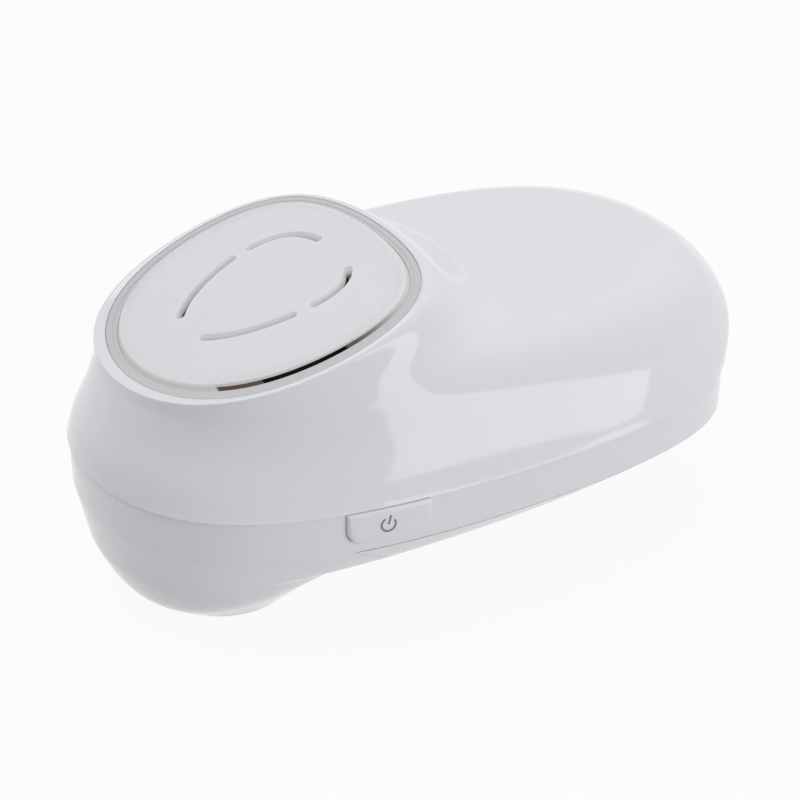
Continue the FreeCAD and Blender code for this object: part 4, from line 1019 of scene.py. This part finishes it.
# each row: colour, roughness, metal or not, and the nodes that wear it
for name, (shade, roughness, metal, nodes) in NODE_FINISHES.items():
    finish = Finish(name, Metallic=metal)
    darker = tuple(c * 0.85 for c in shade)
    finish.feed("Base Color", finish.mix(finish.noise(300, 3), (*shade, 1), (*darker, 1)))
    finish.feed("Roughness", finish.noise(700, 2) * 0.12 + (roughness - 0.06))
    finish.bump(finish.noise(2500, 2), 0.1, 0.02 * MM)
    finish.paint(*[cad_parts[node] for node in nodes])

# %% [markdown]
# ## Studio
#
# The object stands on a plain pale floor that runs into a white world. Soft lamps light it from the side,
# from above and faintly from the rear. The side and rear lamps light the form but don't show in the gloss.
# What shows there is the broad top lamp and a small card, low beside the tail, which in turn gives no soft
# light. The camera stands where the proportions of the object ask for it, with a long lens and no shift.

# %% Floor and world
FLOOR_SHADE = (0.7, 0.7, 0.7, 1)
FLOOR_WHITE_SHARE = 0.93
AMBIENT = 0.37
deselect()
bpy.ops.mesh.primitive_plane_add(size=8, location=(0, 0, 0))
floor = bpy.context.object
floor.name = "floor"


def seen_directly(tree):
    """1 for what the camera sees, straight or through gloss and clear plastic, and 0 for soft light."""
    path = tree.nodes.new("ShaderNodeLightPath")
    total = path.outputs["Is Camera Ray"]
    for kind in ("Is Glossy Ray", "Is Transmission Ray"):
        larger = tree.nodes.new("ShaderNodeMath")
        larger.operation = "MAXIMUM"
        tree.links.new(total, larger.inputs[0])
        tree.links.new(path.outputs[kind], larger.inputs[1])
        total = larger.outputs[0]
    return total


paper = bpy.data.materials.new("paper_floor")
paper.use_nodes = True
floor_tree = paper.node_tree
surface = floor_tree.nodes["Principled BSDF"]
surface.inputs["Base Color"].default_value = FLOOR_SHADE
surface.inputs["Roughness"].default_value = 0.9
floor_glow = floor_tree.nodes.new("ShaderNodeEmission")
floor_glow.inputs["Strength"].default_value = 1.0
floor_blend = floor_tree.nodes.new("ShaderNodeMixShader")
amount = floor_tree.nodes.new("ShaderNodeMath")
amount.operation = "MULTIPLY"
amount.inputs[1].default_value = FLOOR_WHITE_SHARE
floor_tree.links.new(seen_directly(floor_tree), amount.inputs[0])
floor_tree.links.new(amount.outputs[0], floor_blend.inputs["Fac"])
floor_tree.links.new(surface.outputs[0], floor_blend.inputs[1])
floor_tree.links.new(floor_glow.outputs[0], floor_blend.inputs[2])
floor_tree.links.new(floor_blend.outputs[0], floor_tree.nodes["Material Output"].inputs["Surface"])
floor.data.materials.append(paper)

world = bpy.data.worlds.new("studio")
bpy.context.scene.world = world
world.use_nodes = True
sky_tree = world.node_tree
ambient = sky_tree.nodes["Background"]
ambient.inputs["Color"].default_value = (1, 1, 1, 1)
ambient.inputs["Strength"].default_value = AMBIENT
backdrop = sky_tree.nodes.new("ShaderNodeBackground")
backdrop.inputs["Strength"].default_value = 1.0
sky_blend = sky_tree.nodes.new("ShaderNodeMixShader")
sky_tree.links.new(seen_directly(sky_tree), sky_blend.inputs["Fac"])
sky_tree.links.new(ambient.outputs[0], sky_blend.inputs[1])
sky_tree.links.new(backdrop.outputs[0], sky_blend.inputs[2])
sky_tree.links.new(sky_blend.outputs[0], sky_tree.nodes["World Output"].inputs["Surface"])


# %% Lamps
OBJECT_MIDDLE = (0.035, 0, 0.03)
CARD_PLACE = (0.106, -0.162, 0.038)
CARD_AIM = (0.0155, 0.0084, 0.038)
CARD_WIDTH = 0.155
CARD_HEIGHT = 0.045
CARD_POWER = 0.048
CARD_TURN = math.radians(-17)


def softbox(name, where, aim, width, height, power):
    """A flat soft lamp that faces a point. Sizes are in metres and power is in watts."""
    lamp = bpy.data.lights.new(name, "AREA")
    lamp.shape = "RECTANGLE"
    lamp.size = width
    lamp.size_y = height
    lamp.energy = power
    holder = bpy.data.objects.new(name, lamp)
    bpy.context.scene.collection.objects.link(holder)
    holder.location = where
    holder.rotation_euler = (Vector(aim) - Vector(where)).to_track_quat("-Z", "Y").to_euler()
    return holder


side_lamp = softbox("side_softbox", (0.64, -1.13, 0.42), OBJECT_MIDDLE, 1.0, 0.75, 6.3)
side_lamp.visible_glossy = False
softbox("top_softbox", (-0.1, 0.3, 1.3), OBJECT_MIDDLE, 1.2, 1.2, 9.6)
rear_lamp = softbox("rear_softbox", (-0.85, 0.95, 0.4), OBJECT_MIDDLE, 0.8, 0.8, 1.4)
rear_lamp.visible_glossy = False
card = softbox("gloss_card", CARD_PLACE, CARD_AIM, CARD_WIDTH, CARD_HEIGHT, CARD_POWER)
card.rotation_euler.rotate_axis("Z", CARD_TURN)
card.visible_diffuse = False

# %% Camera
SENSOR = 36
LENS = 105.2
STAND = (-0.16634, -0.32790, 0.24163)
SIGHT = Vector((0.46403, 0.74059, -0.48600))
camera_data = bpy.data.cameras.new("camera")
camera = bpy.data.objects.new("camera", camera_data)
bpy.context.scene.collection.objects.link(camera)
bpy.context.scene.camera = camera
camera_data.sensor_width = SENSOR
camera_data.lens = LENS
camera_data.clip_start = 0.01
camera.location = STAND
camera.rotation_euler = SIGHT.to_track_quat("-Z", "Y").to_euler()

# %% Colour view
bpy.context.scene.view_settings.view_transform = "Standard"
